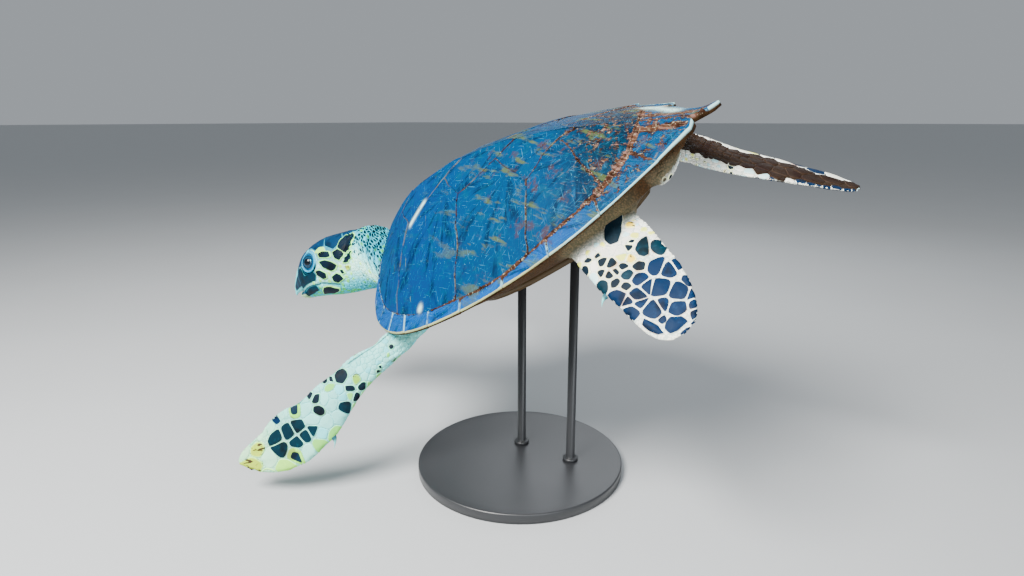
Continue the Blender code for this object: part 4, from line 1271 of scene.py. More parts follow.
MIDDLE_PLATES = {
    "frontal": ("crown", [(0.59, 0.0), (0.575, 0.045), (0.56, 0.09), (0.46, 0.09), (0.425, 0.0)]),
    "frontoparietal": ("crown", [(0.415, 0.0), (0.44, 0.095), (0.26, 0.10), (0.03, 0.085), (0.0, 0.0)]),
    "occipital": ("crown", [(-0.015, 0.0), (0.01, 0.08), (-0.045, 0.17), (-0.095, 0.125), (-0.15, 0.09),
        (-0.17, 0.0)]),
}
# Metres by which a plate's outline lies outside its corners, which mark its dark middle.
PLATE_MARGIN = 0.0030
CROWN_MARGIN = 0.0004
JAW_MARGIN = 0.0002
FIN_PLATE_MARGIN = 0.0003
PLATE_POINTS = 56
PLATE_RISE = 0.0017     # metres over the skin, at a plate's edge
PLATE_CROWN = 0.0011    # and how much more its middle stands out
EYE_PLACE = (0.47, 0.345)   # the eye's middle, in the same units as the corners


def head_place(chart, x, s):
    """a and q of the head's chart, from head lengths along and round from the midline."""
    a = head_row(x)
    girth = np.interp(a, np.linspace(0, 1, chart.rows), chart.stretch[..., 1].mean(1))
    return a, np.asarray(s, float) * HEAD_LENGTH / girth


def outlined(chart, corners, margin):
    """A plate's middle, as a and q, and its outline round it in shell lengths, from corners in a and q."""
    a, q = np.array(corners).T
    middle = np.array([a.mean(), q.mean()])
    stretch = chart.look(chart.stretch, middle[:1], middle[1:])[0]
    local = shrink(np.column_stack([a - middle[0], q - middle[1]]) * stretch, -margin / SHELL_LENGTH)
    return middle, even_outline(rounded(local), PLATE_POINTS), stretch


def head_plates(chart):
    """Named plates of the head: middle, outline, stretch and mark."""
    rows = []
    for mark_name, corners in HEAD_PLATES.values():
        rows += [(mark_name, [(x, sign * s) for x, s in corners]) for sign in (1, -1)]
    for mark_name, corners in MIDDLE_PLATES.values():
        rows.append((mark_name, corners + [(x, -s) for x, s in corners[-2:0:-1]]))
    plates = []
    for mark_name, corners in rows:
        x, s = np.array(finer(corners, 0.03)).T
        margin = {"crown": CROWN_MARGIN, "jaw": JAW_MARGIN}.get(mark_name, PLATE_MARGIN)
        plates.append((*outlined(chart, np.column_stack(head_place(chart, x, s)), margin), mark_name))
    return plates


def add_plates(name, part, chart, plates, finish):
    marks = np.array([mark(p[3]) for p in plates])
    middles = np.array([p[0] for p in plates])
    seeds = {"a": middles[:, 0], "q": middles[:, 1], "mark": marks,
             "wash": wash_of(part, middles[:, 0], np.full(len(marks), 0.3)), "joint": np.zeros(len(marks)),
             "dark": DARK[marks],
             "rise": np.full(len(plates), PLATE_RISE), "crown": np.full(len(plates), PLATE_CROWN),
             "band": BAND[marks]}
    coat(name, chart, seeds, finish, cells=[p[1] for p in plates])


def under_plates(plates, small=0.0016, large=0.0028):
    """Unbuilt seeds inside each plate, which keep the cells of small scales off it."""
    taken = []
    for middle, outline, stretch, _ in plates:
        for share in (0.93, 0.70, 0.45, 0.15):
            ring = outline[:: 2 if share > 0.5 else 5] * share / stretch + middle
            taken += [(a, q, small if share > 0.9 else large, "cream", False) for a, q in ring]
    return taken


def keep_off(seeds, plates):
    """Leaves out every small scale whose middle lies in a plate."""
    for middle, outline, stretch, _ in plates:
        turn = (seeds["q"] - middle[1] + 0.5) % 1.0 - 0.5
        x, y = (seeds["a"] - middle[0]) * stretch[0], turn * stretch[1]
        inside = np.zeros(len(x), bool)
        for (ax, ay), (bx, by) in zip(outline * 1.03, np.roll(outline, -1, 0) * 1.03):
            if ay != by:
                inside ^= ((ay > y) != (by > y)) & (x < ax + (bx - ax) * (y - ay) / (by - ay))
        seeds["built"] &= ~inside
    return seeds


def head_seeds(chart, plates):
    """Small scales wherever no plate lies. Unbuilt seeds under the plates and the eyes keep them out."""
    taken = under_plates(plates)
    for x in np.linspace(0.10, 0.73, 60):
        a, q = head_place(chart, x, curve(MOUTH_LINE, x))
        taken += [(float(a), sign * float(q), 0.0012, "cream", False) for sign in (1, -1)]
    for sign in (1, -1):
        for r in (0.13, 0.09, 0.04):
            for turn in np.linspace(0, 2 * math.pi, 22 if r > 0.05 else 12, endpoint=False):
                x, s = EYE_PLACE[0] + r * math.cos(turn) * 1.05, EYE_PLACE[1] + r * math.sin(turn) * 1.2
                a, q = head_place(chart, x, s)
                taken.append((float(a), sign * float(q), 0.0028, "cream", False))

    def size_at(a, q):
        head = smooth(head_row(-0.2), head_row(0.05), a)
        low = smooth(0.20, 0.45, away(q))
        high = 1 - smooth(0.10, 0.27, away(q))
        return 0.0025 + 0.0012 * head + 0.0008 * low * head + 0.0008 * high * (1 - head)

    def rule(a, q, chance):
        high = 1 - smooth(0.10, 0.27, away(q))
        head = smooth(head_row(-0.16), head_row(0.0), a)
        table = [("nape", 0.02 + 0.75 * high * (1 - head)), ("lime", 0.08 + 0.40 * head),
                 ("cyan", 0.45 * high + 0.25)]
        return chosen_marks(chance, table, "cream")

    return keep_off(seeds_for(chart, "head", taken, size_at, rule, 0.12, float(head_row(0.745)), 3), plates)


# Scales of the near flippers that show best in the photo, listed one by one: share of the length, place
# across (1 at the leading edge, -1 at the trailing one), radius in mm, mark.
REAR_LEFT_SCALES = [
    (0.30, -0.66, 7.0, "amber"), (0.39, -0.57, 6.5, "lime"), (0.38, -0.84, 5.5, "lime"),
    (0.52, -0.84, 12.0, "teal"), (0.44, -0.30, 6.0, "spot"), (0.43, 0.46, 7.5, "spot"),
    (0.47, 0.30, 7.5, "spot"), (0.40, 0.89, 8.0, "spot"), (0.38, 0.71, 6.0, "spot"),
    (0.34, 0.77, 5.0, "cream"), (0.49, 0.68, 6.5, "spot"), (0.53, 0.54, 7.0, "spot"),
    (0.53, 0.34, 5.5, "spot"), (0.53, 0.13, 6.0, "spot"), (0.51, -0.17, 6.0, "amber"),
    (0.47, 0.00, 5.0, "lime"), (0.60, 0.57, 8.0, "spot"), (0.66, 0.42, 8.5, "spot"),
    (0.60, 0.13, 8.5, "teal"), (0.66, -0.04, 10.5, "distal"), (0.73, -0.09, 8.5, "distal"),
    (0.65, -0.50, 11.0, "distal"), (0.70, -0.68, 9.5, "distal"), (0.77, -0.34, 12.5, "distal"),
    (0.83, -0.68, 13.0, "distal"), (0.74, 0.30, 10.0, "distal"), (0.74, 0.57, 7.0, "distal"),
    (0.68, 0.77, 12.0, "distal"), (0.56, 0.87, 10.0, "teal"), (0.80, 0.38, 7.5, "distal"),
    (0.85, 0.17, 13.0, "distal"), (0.85, -0.17, 9.0, "distal"), (0.89, -0.46, 12.0, "distal"),
    (0.91, 0.04, 6.0, "distal"), (0.81, 0.77, 9.0, "distal"),
]
REAR_LEFT_PLATES = [
    ("slate", [(0.20, -0.60), (0.20, -0.38), (0.23, -0.17), (0.28, 0.0), (0.33, 0.10), (0.375, 0.06),
        (0.385, -0.15), (0.33, -0.38), (0.26, -0.50)]),
    ("teal", [(0.43, -0.79), (0.43, -0.64), (0.44, -0.50), (0.47, -0.34), (0.52, -0.33), (0.55, -0.42),
        (0.55, -0.54), (0.49, -0.68)]),
    ("distal", [(0.91, -0.17), (0.925, 0.04), (0.945, 0.26), (0.975, 0.20), (0.98, -0.25), (0.965, -0.70),
        (0.93, -0.50)]),
    ("distal", [(0.86, 0.61), (0.88, 0.84), (0.92, 0.84), (0.955, 0.72), (0.965, 0.42), (0.92, 0.34)]),
]
FRONT_LEFT_SCALES = [
    (0.41, -0.50, 13.5, "spot"), (0.46, -0.88, 6.5, "spot"), (0.53, -0.86, 6.0, "spot"),
    (0.52, -0.57, 6.0, "spot"), (0.55, -0.13, 7.0, "spot"), (0.38, 0.17, 7.5, "amber"),
    (0.38, 0.64, 7.0, "spot"), (0.42, 0.26, 6.5, "spot"), (0.43, 0.79, 7.0, "spot"),
    (0.48, 0.61, 11.0, "teal"), (0.62, -0.80, 12.0, "halo"), (0.66, -0.17, 8.5, "teal"),
    (0.71, -0.22, 9.0, "teal"), (0.66, 0.17, 8.0, "teal"), (0.61, 0.26, 6.5, "teal"),
    (0.79, -0.38, 10.0, "teal"), (0.80, 0.06, 11.5, "teal"), (0.71, 0.19, 8.5, "teal"),
    (0.76, 0.55, 12.0, "halo"), (0.91, -0.42, 13.0, "amber"), (0.94, 0.40, 14.0, "amber"),
]


def fin_q(fin, share, across, side):
    """Turn round a flipper for a place across its blade, on its upper (1) or lower (-1) face."""
    front, back, _ = sizes_at(fin[2], share)
    reach = across * (front if across > 0 else back)
    turn = 0.5 * (front - reach) / (front + back)
    return turn if side > 0 else 1 - turn


def in_shade(part, a, q):
    """Where the far hind flipper is painted dark brown as painted shade: its lower face, but for the leading
    edge and the root.
    """
    if part != "rear_right":
        return np.zeros(np.broadcast(a, q).shape)
    ragged = 0.02 * noise(a * 34, 0.0, 0.0, 6)
    band = smooth(0.60, 0.63, q + ragged + 0.10 * smooth(0.5, 0.7, a)) * (1 - smooth(0.90, 0.915, q + ragged))
    return band * smooth(0.14, 0.20, a)


def fin_plates(chart, fin, side):
    """The large plates of the near hind flipper."""
    plates = []
    for mark_name, corners in REAR_LEFT_PLATES:
        spots = [(s, fin_q(fin, s, t, side)) for s, t in finer(corners, 0.08)]
        plates.append((*outlined(chart, spots, FIN_PLATE_MARGIN), mark_name))
    return plates


def fin_seeds(chart, part, fin, rows, side, seed, start, dark_from, shy, plates):
    named = [(s, fin_q(fin, s, t, side), r / 1000, m, True) for s, t, r, m in rows]
    named += under_plates(plates, 0.0022, 0.0036)
    if part.startswith("front"):
        named += [(s, FOLD_TURN, 0.0012, "cream", False) for s in np.linspace(0.11, FOLD_END[0], 34)]

    def size_at(a, q):
        edge = away(q)
        lead = 1 - smooth(0.03, 0.10, edge)
        trail = smooth(0.40, 0.47, edge)
        grown = smooth(0.25, 0.70, a) * (1 - 0.35 * smooth(0.9, 1.0, a))
        return (0.0036 + 0.0062 * grown) * (1 - 0.40 * trail) + 0.0020 * lead * smooth(0.2, 0.5, a)

    def rule(a, q, chance):
        edge = away(q)
        face = np.where(q < 0.5, 1.0, shy)
        distal = smooth(dark_from, dark_from + 0.3, a)
        lead = 1 - smooth(0.04, 0.10, edge)
        dark = (0.16 + 0.80 * distal) * face * (1 - 0.4 * lead)
        if part == "front_left":
            dark = 0.16 * face * (1 - lead)
        table = [("distal", dark * distal), ("spot", dark * (1 - distal)),
                 ("lime", 0.06 + 0.5 * lead * (1 - dark)), ("cyan", 0.15 + 0 * a)]
        marks = chosen_marks(chance, table, "cream")
        if part == "rear_right":
            pale_edge = (q > 0.90) & (a < 0.75)
            marks = np.where(pale_edge, mark("cream"), marks)
        # scales in the painted shade of the far hind flipper are dark brown
        return np.where(in_shade(part, a, q) > 0.5, mark("shade_umber"), marks)

    return keep_off(seeds_for(chart, part, named, size_at, rule, start, 0.992, seed), plates)


TAIL_SPOTS = [(0.71, 0.875, 0.0048), (0.645, 0.80, 0.0044), (0.75, 0.70, 0.0055), (0.90, 0.80, 0.0046)]


def tail_seeds(chart):
    def size_at(a, q):
        return 0.0024 + 0.0022 * smooth(0.5, 0.9, a) * hashed(np.floor(a * 9), np.floor(q * 5))

    def rule(a, q, chance):
        return chosen_marks(chance, [("spot", 0.03 + 0 * a), ("cyan", 0.05 + 0 * a)], "cream")

    named = [(a, q, radius, "spot", True) for a, q, radius in TAIL_SPOTS]
    return seeds_for(chart, "tail", named, size_at, rule, 0.3, 0.97, 41)


# ---- Materials ---------------------------------------------------------------------------------
class Paint:
    """A node material, built from short calls that each return a socket."""

    def __init__(self, name, roughness, **values):
        self.material = bpy.data.materials.new(name)
        self.material.use_nodes = True
        self.nodes = self.material.node_tree.nodes
        self.links = self.material.node_tree.links
        self.shader = self.nodes["Principled BSDF"]
        self.base = None
        self.set("Roughness", roughness)
        for key, value in values.items():
            self.set(key.replace("_", " "), value)

    def set(self, socket, value):
        if isinstance(value, bpy.types.NodeSocket):
            self.links.new(value, self.shader.inputs[socket])
        else:
            self.shader.inputs[socket].default_value = value

    def plug(self, node, socket, value):
        if isinstance(value, bpy.types.NodeSocket):
            self.links.new(value, node.inputs[socket])
        elif isinstance(value, tuple) and len(value) == 3 and node.inputs[socket].type == "RGBA":
            node.inputs[socket].default_value = (*value, 1)
        else:
            node.inputs[socket].default_value = value

    def node(self, kind, inputs, output=0, **settings):
        """One output of a new node, once it has its settings and inputs."""
        node = self.nodes.new("ShaderNode" + kind)
        for key, value in settings.items():
            setattr(node, key, value)
        for key, value in inputs.items():
            self.plug(node, key, value)
        return node.outputs[output]

    def value(self, name, output="Fac"):
        return self.node("Attribute", {}, output, attribute_name=name)

    def vector(self, name):
        return self.value(name, "Color")

    def place(self):
        return self.node("TexCoord", {}, "Object")

    def math(self, kind, a, b=0.0, c=0.0):
        return self.node("Math", {0: a, 1: b, 2: c}, operation=kind)

    def join(self, x, y):
        return self.node("CombineXYZ", {0: x, 1: y})

    def noise(self, vector, scale, detail=3.0, rough=0.5, twist=0.0):
        inputs = {"Vector": vector, "Scale": scale, "Detail": detail, "Roughness": rough, "Distortion": twist}
        return self.node("TexNoise", inputs, "Fac")

    def cells(self, vector, scale, feature="F1"):
        return self.node("TexVoronoi", {"Vector": vector, "Scale": scale}, "Distance", feature=feature)

    def step(self, value, low, high, start=0.0, end=1.0):
        """Smoothly from start to end as value goes from low to high."""
        inputs = {"Value": value, "From Min": low, "From Max": high, "To Min": start, "To Max": end}
        return self.node("MapRange", inputs, interpolation_type="SMOOTHSTEP")

    def mix(self, share, a, b, kind="MIX"):
        return self.node("Mix", {0: share, 6: a, 7: b}, 2, data_type="RGBA", blend_type=kind)

    def over(self, share, colour):
        """Lays a colour over the paint's base colour."""
        self.base = self.mix(share, self.base, colour)

    def times(self, colour, by):
        return self.mix(1.0, colour, by, "MULTIPLY")

    def bump(self, height, distance):
        inputs = {"Distance": distance, "Strength": 1.0, "Height": height}
        self.set("Normal", self.node("Bump", inputs))

    def both(self, a, b):
        return self.math("MULTIPLY", a, b)

    def more(self, a, b):
        return self.math("ADD", a, b)


def scaled(p, vector, x, y, z, turn=0.0):
    """The vector turned about Z and then scaled."""
    if turn:
        vector = p.node("VectorRotate", {"Vector": vector, "Angle": turn}, rotation_type="Z_AXIS")
    return p.node("Mapping", {"Vector": vector, "Scale": (x, y, z)})


def scratches(p, plan, turn, length, width):
    """A family of thin straight scratches that lie one way over the shell's plan."""
    return p.step(p.noise(scaled(p, plan, 1 / length, 1 / width, 1.0, turn), 1.0, 2.0, 0.6), 0.62, 0.72)


def shell_paint(name, rim):
    p = Paint(name, 0.60, Specular_IOR_Level=0.035)
    place = p.place()
    x, y = p.value("plan_x"), p.value("plan_y")
    plan = p.join(x, y)
    margin, under = p.value("margin"), p.value("under")
    ray = p.vector("ray")
    broad = p.noise(place, 9.0, 3.0)
    fine = p.noise(place, 60.0, 4.0, 0.6)
    speck = p.noise(place, 230.0, 2.0, 0.6)
    rear = p.step(x, 0.34, 0.16)
    if rim:
        p.base = p.mix(broad, (0.0003, 0.038, 0.185), (0.0006, 0.070, 0.290))
        p.over(p.both(rear, 0.75), (0.003, 0.030, 0.060))
    else:
        front = p.mix(broad, (0.0002, 0.020, 0.095), (0.0004, 0.038, 0.150))
        middle = p.mix(broad, (0.0003, 0.022, 0.075), (0.0008, 0.040, 0.115))
        p.base = p.mix(p.step(x, 0.42, 0.72), middle, front)
        p.over(p.both(rear, 0.9), (0.002, 0.010, 0.020))
    streak = p.noise(scaled(p, ray, 9.0, 9.0, 26.0), 1.0, 5.0, 0.65)
    p.over(p.step(streak, 0.50, 0.74, 0.0, 0.55), (0.002, 0.075, 0.190))
    dark = p.noise(scaled(p, ray, 5.0, 5.0, 12.0), 1.3, 4.0, 0.6)
    p.over(p.step(dark, 0.50, 0.66, 0.0, 0.80), (0.0003, 0.008, 0.026))
    mottle = p.noise(place, 48.0, 5.0, 0.7)
    p.over(p.step(mottle, 0.50, 0.70, 0.0, 0.50), (0.002, 0.060, 0.100))
    patch = p.noise(scaled(p, plan, 9.0, 26.0, 1.0, 0.5), 1.0, 4.0, 0.6)
    olive = p.both(p.step(patch, 0.55, 0.64), p.step(x, 0.74, 0.36, 0.06, 0.75))
    p.over(olive, (0.062, 0.088, 0.022))
    rust = p.noise(scaled(p, plan, 22.0, 34.0, 1.0, 2.1), 1.0, 4.0, 0.65)
    rusty = p.both(p.step(rust, 0.56, 0.66), p.step(x, 0.60, 0.30, 0.0, 0.65))
    p.over(rusty, (0.050, 0.020, 0.011))
    pale = (0.022, 0.190, 0.330)
    for turn, length, width in ((0.35, 0.050, 0.0032), (-0.75, 0.036, 0.0026), (1.35, 0.044, 0.0028)):
        p.over(p.both(scratches(p, plan, turn, length, width), 0.42), pale)
    if rim:
        along = p.noise(scaled(p, ray, 130.0, 130.0, 8.0), 1.0, 3.0, 0.7)
        p.over(p.step(along, 0.56, 0.70, 0.0, 0.55), (0.015, 0.230, 0.480))
    p.over(p.step(speck, 0.66, 0.74, 0.0, 0.55), (0.030, 0.200, 0.300))
    line = p.both(p.step(margin, 0.0012, 0.0002), p.step(p.noise(place, 30.0, 4.0, 0.7), 0.40, 0.56))
    tone = p.step(p.noise(place, 16.0), 0.40, 0.56)
    if rim:
        p.over(p.both(line, 0.85), (0.240, 0.480, 0.540))
    else:
        filling = p.mix(tone, (0.050, 0.018, 0.009), (0.200, 0.190, 0.085))
        p.over(p.both(line, p.step(x, 0.80, 0.50, 0.28, 0.62)), filling)
    growth = p.both(p.step(p.noise(scaled(p, plan, 10.0, 70.0, 1.0, 1.45), 1.0, 4.0, 0.65), 0.66, 0.71),
                    p.step(x, 0.56, 0.74))
    p.over(p.both(growth, 0.6), (0.130, 0.210, 0.110))
    silt = p.value("silt")
    grit = p.noise(place, 95.0, 5.0, 0.75)
    amount = p.step(p.more(silt, p.math("MULTIPLY_ADD", grit, 1.7, -0.85)), 0.36, 0.50)
    veins = p.noise(scaled(p, plan, 22.0, 120.0, 1.0, 0.25), 1.0, 4.0, 0.7)
    mud = p.mix(p.step(fine, 0.38, 0.62), (0.018, 0.007, 0.004), (0.070, 0.030, 0.016))
    veined = p.both(p.step(veins, 0.50, 0.62), p.step(x, 0.36, 0.20, 0.15, 0.9))
    mud = p.mix(veined, mud, (0.200, 0.110, 0.085))
    mud = p.mix(p.step(speck, 0.60, 0.68, 0.0, 0.65), mud, (0.380, 0.340, 0.240))
    p.over(amount, mud)
    crack = p.cells(scaled(p, plan, 26.0, 60.0, 1.0, 0.3), 1.0, "DISTANCE_TO_EDGE")
    crack = p.both(p.step(crack, 0.05, 0.01), rear)
    p.over(p.both(crack, p.step(grit, 0.46, 0.62, 0.0, 0.45)), (0.220, 0.200, 0.130))
    # pale scar and barnacle mark, and a painted highlight on the right rear of the shell
    scar_and_highlight = p.both(p.value("scar_and_highlight"), p.step(grit, 0.30, 0.48))
    p.over(scar_and_highlight, (0.480, 0.740, 0.700))
    ragged = p.math("MULTIPLY_ADD", p.noise(place, 70.0, 3.0), 0.0026, p.step(x, 0.35, 0.22, 0.0004, 0.0001))
    edge = p.both(p.step(p.value("rim"), ragged, p.both(ragged, 0.5)), 0.9)
    p.over(edge, p.mix(p.step(x, 0.34, 0.22), (0.420, 0.440, 0.190), (0.360, 0.640, 0.640)))
    # painted shade: the undersides of the plates are dark brown, the colour of their pale horn in shade
    belly = p.mix(p.step(fine, 0.35, 0.65), (0.026, 0.012, 0.005), (0.065, 0.032, 0.013))
    belly = p.mix(p.step(mottle, 0.56, 0.70, 0.0, 0.45), belly, (0.130, 0.085, 0.032))
    p.over(p.step(under, 0.20, 0.60), belly)
    p.set("Base Color", p.base)
    p.set("Roughness", p.step(amount, 0.0, 1.0, 0.52, 0.85))
    relief = p.more(p.both(streak, 0.5), p.more(p.both(amount, 1.6), p.both(fine, 0.45)))
    ring = p.math("SINE", p.math("MULTIPLY_ADD", margin, 1400.0, p.both(p.noise(place, 20.0), 9.0)))
    relief = p.more(relief, p.both(p.both(ring, 0.18), p.step(margin, 0.03, 0.004)))
    p.bump(relief, 0.0006)
    return p.material


def skin_paint(name, scales):
    p = Paint(name, 0.55, Specular_IOR_Level=0.09)
    place = p.place()
    tint = p.vector("tint")
    fine = p.noise(place, 190.0, 4.0, 0.6)
    blotch = p.noise(place, 55.0, 3.0)
    p.base = p.mix(p.step(blotch, 0.4, 0.7, 0.0, 0.25), tint, p.times(tint, (0.62, 0.86, 0.90)))
    lighter = p.times(tint, (1.25, 1.15, 1.10))
    if scales:
        dark, amber = p.value("dark"), p.value("amber")
        pale = p.math("SUBTRACT", 1.0, dark)
        p.over(p.both(p.step(fine, 0.50, 0.72, 0.0, 0.5), pale), lighter)
        glint = p.noise(place, 120.0, 4.0, 0.7)
        p.over(p.both(p.step(glint, 0.52, 0.72, 0.0, 0.55), dark), p.times(tint, (2.2, 2.4, 2.2)))
        p.over(p.both(p.step(p.noise(place, 38.0, 3.0), 0.50, 0.66, 0.0, 0.8), dark),
               p.times(tint, (0.6, 0.35, 0.30)))
        p.over(p.both(p.step(p.noise(place, 160.0, 4.0), 0.60, 0.68, 0.0, 0.22), pale),
               p.times(tint, (0.35, 0.55, 0.60)))
        stripe = p.noise(scaled(p, place, 60.0, 60.0, 150.0), 1.0, 3.0, 0.6, 0.6)
        p.over(p.both(p.step(stripe, 0.53, 0.60), amber), (0.045, 0.030, 0.020))
        grain = p.cells(place, 520.0)
        p.bump(p.more(p.both(fine, 0.8), p.both(grain, 0.3)), 0.00035)
    else:
        p.over(p.step(fine, 0.50, 0.75, 0.0, 0.40), lighter)
        grain = p.cells(place, 330.0)
        p.over(p.step(grain, 0.40, 0.62, 0.0, 0.55), p.times(tint, (0.30, 0.48, 0.52)))
        p.bump(p.more(p.both(p.math("SUBTRACT", 1.0, grain), 1.0), p.both(fine, 0.5)), 0.0008)
    p.set("Base Color", p.base)
    return p.material


def horn_paint(name):
    p = Paint(name, 0.45, Specular_IOR_Level=0.12, Coat_Weight=0.04, Coat_Roughness=0.30)
    place = p.place()
    down = p.vector("ray")
    streak = p.noise(scaled(p, down, 30.0, 2.5, 1.0), 1.0, 4.0, 0.6)
    p.base = p.mix(p.step(streak, 0.42, 0.66), (0.001, 0.015, 0.032), (0.004, 0.050, 0.095))
    pale = p.noise(scaled(p, down, 70.0, 3.0, 1.0), 1.0, 3.0, 0.7)
    p.over(p.step(pale, 0.60, 0.72, 0.0, 0.5), (0.040, 0.280, 0.330))
    rim = p.mix(p.value("warm"), (0.110, 0.600, 0.660), (0.480, 0.620, 0.240))
    rim = p.mix(p.step(streak, 0.50, 0.70, 0.0, 0.35), rim, (0.030, 0.200, 0.240))
    p.over(p.step(p.value("edge"), 0.25, 0.75), rim)
    p.set("Base Color", p.base)
    p.bump(p.more(streak, p.both(p.noise(place, 160.0), 0.4)), 0.0003)
    return p.material


def eye_paint():
    p = Paint("eye", 0.20, Specular_IOR_Level=0.20, Coat_Weight=0.18, Coat_Roughness=0.04)
    gaze = p.value("gaze")
    spoke = p.noise(scaled(p, p.vector("ray"), 14.0, 14.0, 3.0), 1.0, 3.0, 0.6)
    iris = p.mix(p.step(spoke, 0.35, 0.65), (0.002, 0.020, 0.045), (0.006, 0.050, 0.100))
    p.base = p.mix(p.step(gaze, 0.46, 0.42), iris, (0.001, 0.003, 0.006))
    p.over(p.step(gaze, 0.74, 0.86), (0.020, 0.040, 0.050))
    p.set("Base Color", p.base)
    return p.material


def plastron_paint():
    p = Paint("plastron", 0.46, Specular_IOR_Level=0.25)
    place = p.place()
    broad = p.noise(place, 14.0, 3.0)
    fine = p.noise(place, 90.0, 4.0, 0.6)
    p.base = p.mix(broad, (0.500, 0.360, 0.120), (0.640, 0.510, 0.240))
    p.over(p.step(p.noise(place, 26.0, 4.0, 0.65), 0.54, 0.70, 0.0, 0.6), (0.260, 0.130, 0.040))
    groove = p.step(p.value("groove"), 0.0030, 0.0008)
    p.over(p.both(groove, 0.85), (0.120, 0.060, 0.025))
    # painted shade: the plastron darkens to dark brown towards its sides
    side = p.step(p.more(p.value("margin"), p.math("MULTIPLY_ADD", fine, 0.03, -0.015)), 0.060, 0.018)
    p.over(p.both(side, 0.95), (0.040, 0.020, 0.008))
    p.set("Base Color", p.base)
    p.bump(p.more(p.both(fine, 0.6), p.both(groove, -1.2)), 0.0008)
    return p.material


def stand_paint(name):
    p = Paint(name, 0.38, Metallic=0.0, Coat_Weight=0.2, Coat_Roughness=0.3)
    place = p.place()
    speck = p.noise(place, 900.0, 2.0, 0.6)
    broad = p.noise(place, 12.0, 3.0)
    p.set("Base Color", p.mix(broad, (0.014, 0.015, 0.017), (0.024, 0.025, 0.028)))
    p.set("Roughness", p.step(speck, 0.3, 0.7, 0.32, 0.46))
    p.bump(speck, 0.00008)
    return p.material


def floor_paint():
    p = Paint("floor", 0.6)
    broad = p.noise(p.place(), 3.0, 3.0)
    p.set("Base Color", p.mix(broad, (0.44, 0.455, 0.465), (0.465, 0.48, 0.49)))
    return p.material


# ---- Pieces ------------------------------------------------------------------------------------
def ground(part, a, q):
    """Colour of the bare skin between scales."""
    pale = CREAM * wash_of(part, a, q)
    if part == "head":
        high = 1 - smooth(0.12, 0.34, away(q))
        skull = smooth(head_row(-0.15), head_row(0.0), a)
        return mix(pale, np.array((0.02, 0.20, 0.32)), skull * high * 0.85)
    # the far hind flipper's skin takes painted shade brown over its lower face
    return mix(pale, MARKS["shade_umber"][1], in_shade(part, a, q))


def lid_part(chart, sign):
    """The lids of one eye, with their colours."""
    ring, reach, angle = lids(chart, sign)
    points, faces = loft_grid(ring, close=False)
    middle = faces[0][len(faces[0]) // 2]
    normal = np.cross(points[middle[1]] - points[middle[0]], points[middle[2]] - points[middle[0]])
    if normal @ eye_axes(sign)[1] < 0:
        faces = [f[:, ::-1] for f in faces]
    marbled = 0.5 + 0.5 * noise(angle * 5, reach * 7, 0, 17)
    tint = mix(LID_BLUE, LID_CYAN, smooth(0.98, 1.16, reach) * (0.55 + 0.45 * marbled))
    tint = mix(tint, LID_DARK, 1 - smooth(0.70, 0.90, reach))
    # painted shade: the lids' outer skin darkens on the jaw side, below and in front
    outer = mix(CREAM * wash_of("head", 0.0, 0.3), MARKS["jaw"][0], jawward(angle))
    tint = mix(tint, outer, smooth(1.50, 1.56, reach))
    # painted shade in the deep fold under the eye
    fold = np.clip(1.6 * bag(angle) * bell(reach, BAG_PLACE + 0.01, 0.085), 0, 1)
    return points, faces, {"tint": mix(tint, LID_DARK * 0.3, fold).reshape(-1, 3)}


def with_ends(tint):
    """The tints of a chart's points, and of the two that close its ends."""
    return {"tint": np.concatenate([tint, tint[:1], tint[-1:]])}


def add_flesh(finish, scale_finish):
    trunk, tail = trunk_chart(), tail_chart()
    limbs = {"head": head_chart(), **{key: fin_chart(key, fin) for key, fin in FINS.items()}, "tail": tail}
    melt(trunk, limbs)
    parts = []
    for key, chart in limbs.items():
        grid = sink_sockets(chart.grid) if key == "head" else chart.grid
        points, faces = loft_grid(grid)
        a, q = chart.turns()
        # painted shade: creases (the mouth line, the neck's folds, a foreflipper's long fold) are painted
        # dark blue
        tint = mix(ground(key, a.ravel(), q.ravel()), LID_BLUE * 0.5, chart.crease.ravel() * 0.9)
        # limbs darken towards their joints into the half painted shade of the joint tint
        tint = mix(tint, JOINT_SHADE_TINT, smooth(0.35, 1.0, chart.joint.ravel()))
        if key == "head":
            # painted shade below and in front of the eyes
            tint = mix(tint, MARKS["jaw"][0], shade_under_eye(chart.grid).ravel())
        parts.append((points, faces, with_ends(tint)))
    parts += [lid_part(limbs["head"], sign) for sign in (1, -1)]
    # the trunk in painted shade brown, lighter towards the joints with its limbs
    parts.append((*loft_grid(trunk.grid), with_ends(mix(UNDER_SHADE_BROWN, JOINT_SHADE_TINT, trunk.joint.ravel()))))
    points, faces, attributes = join(parts)
    skin = build("skin", points, faces, finish, attributes)
    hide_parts("head", "neck", "trunk", "tail", *(f"flipper_{key}" for key in FINS))

    chart = limbs["head"]
    plates = head_plates(chart)
    add_plates("plates_head", "head", chart, plates, scale_finish)
    coat("scales_head", chart, head_seeds(chart, plates), scale_finish)
    for key, rows, side, seed, dark_from, shy in (
            ("front_left", FRONT_LEFT_SCALES, -1, 11, 0.40, 0.75), ("front_right", [], 1, 12, 0.35, 0.6),
            ("rear_left", REAR_LEFT_SCALES, 1, 13, 0.40, 0.6), ("rear_right", [], 1, 14, 0.40, 0.6)):
        fin, chart = FINS[key], limbs[key]
        plates = fin_plates(chart, fin, side) if key == "rear_left" else []
        if plates:
            add_plates(f"plates_{key}", key, chart, plates, scale_finish)
        seeds = fin_seeds(chart, key, fin, rows, side, seed, 0.10, dark_from, shy, plates)
        coat(f"scales_{key}", chart, seeds, scale_finish, gap=0.0008, count=20)
    coat("scales_tail", tail, tail_seeds(tail), scale_finish)


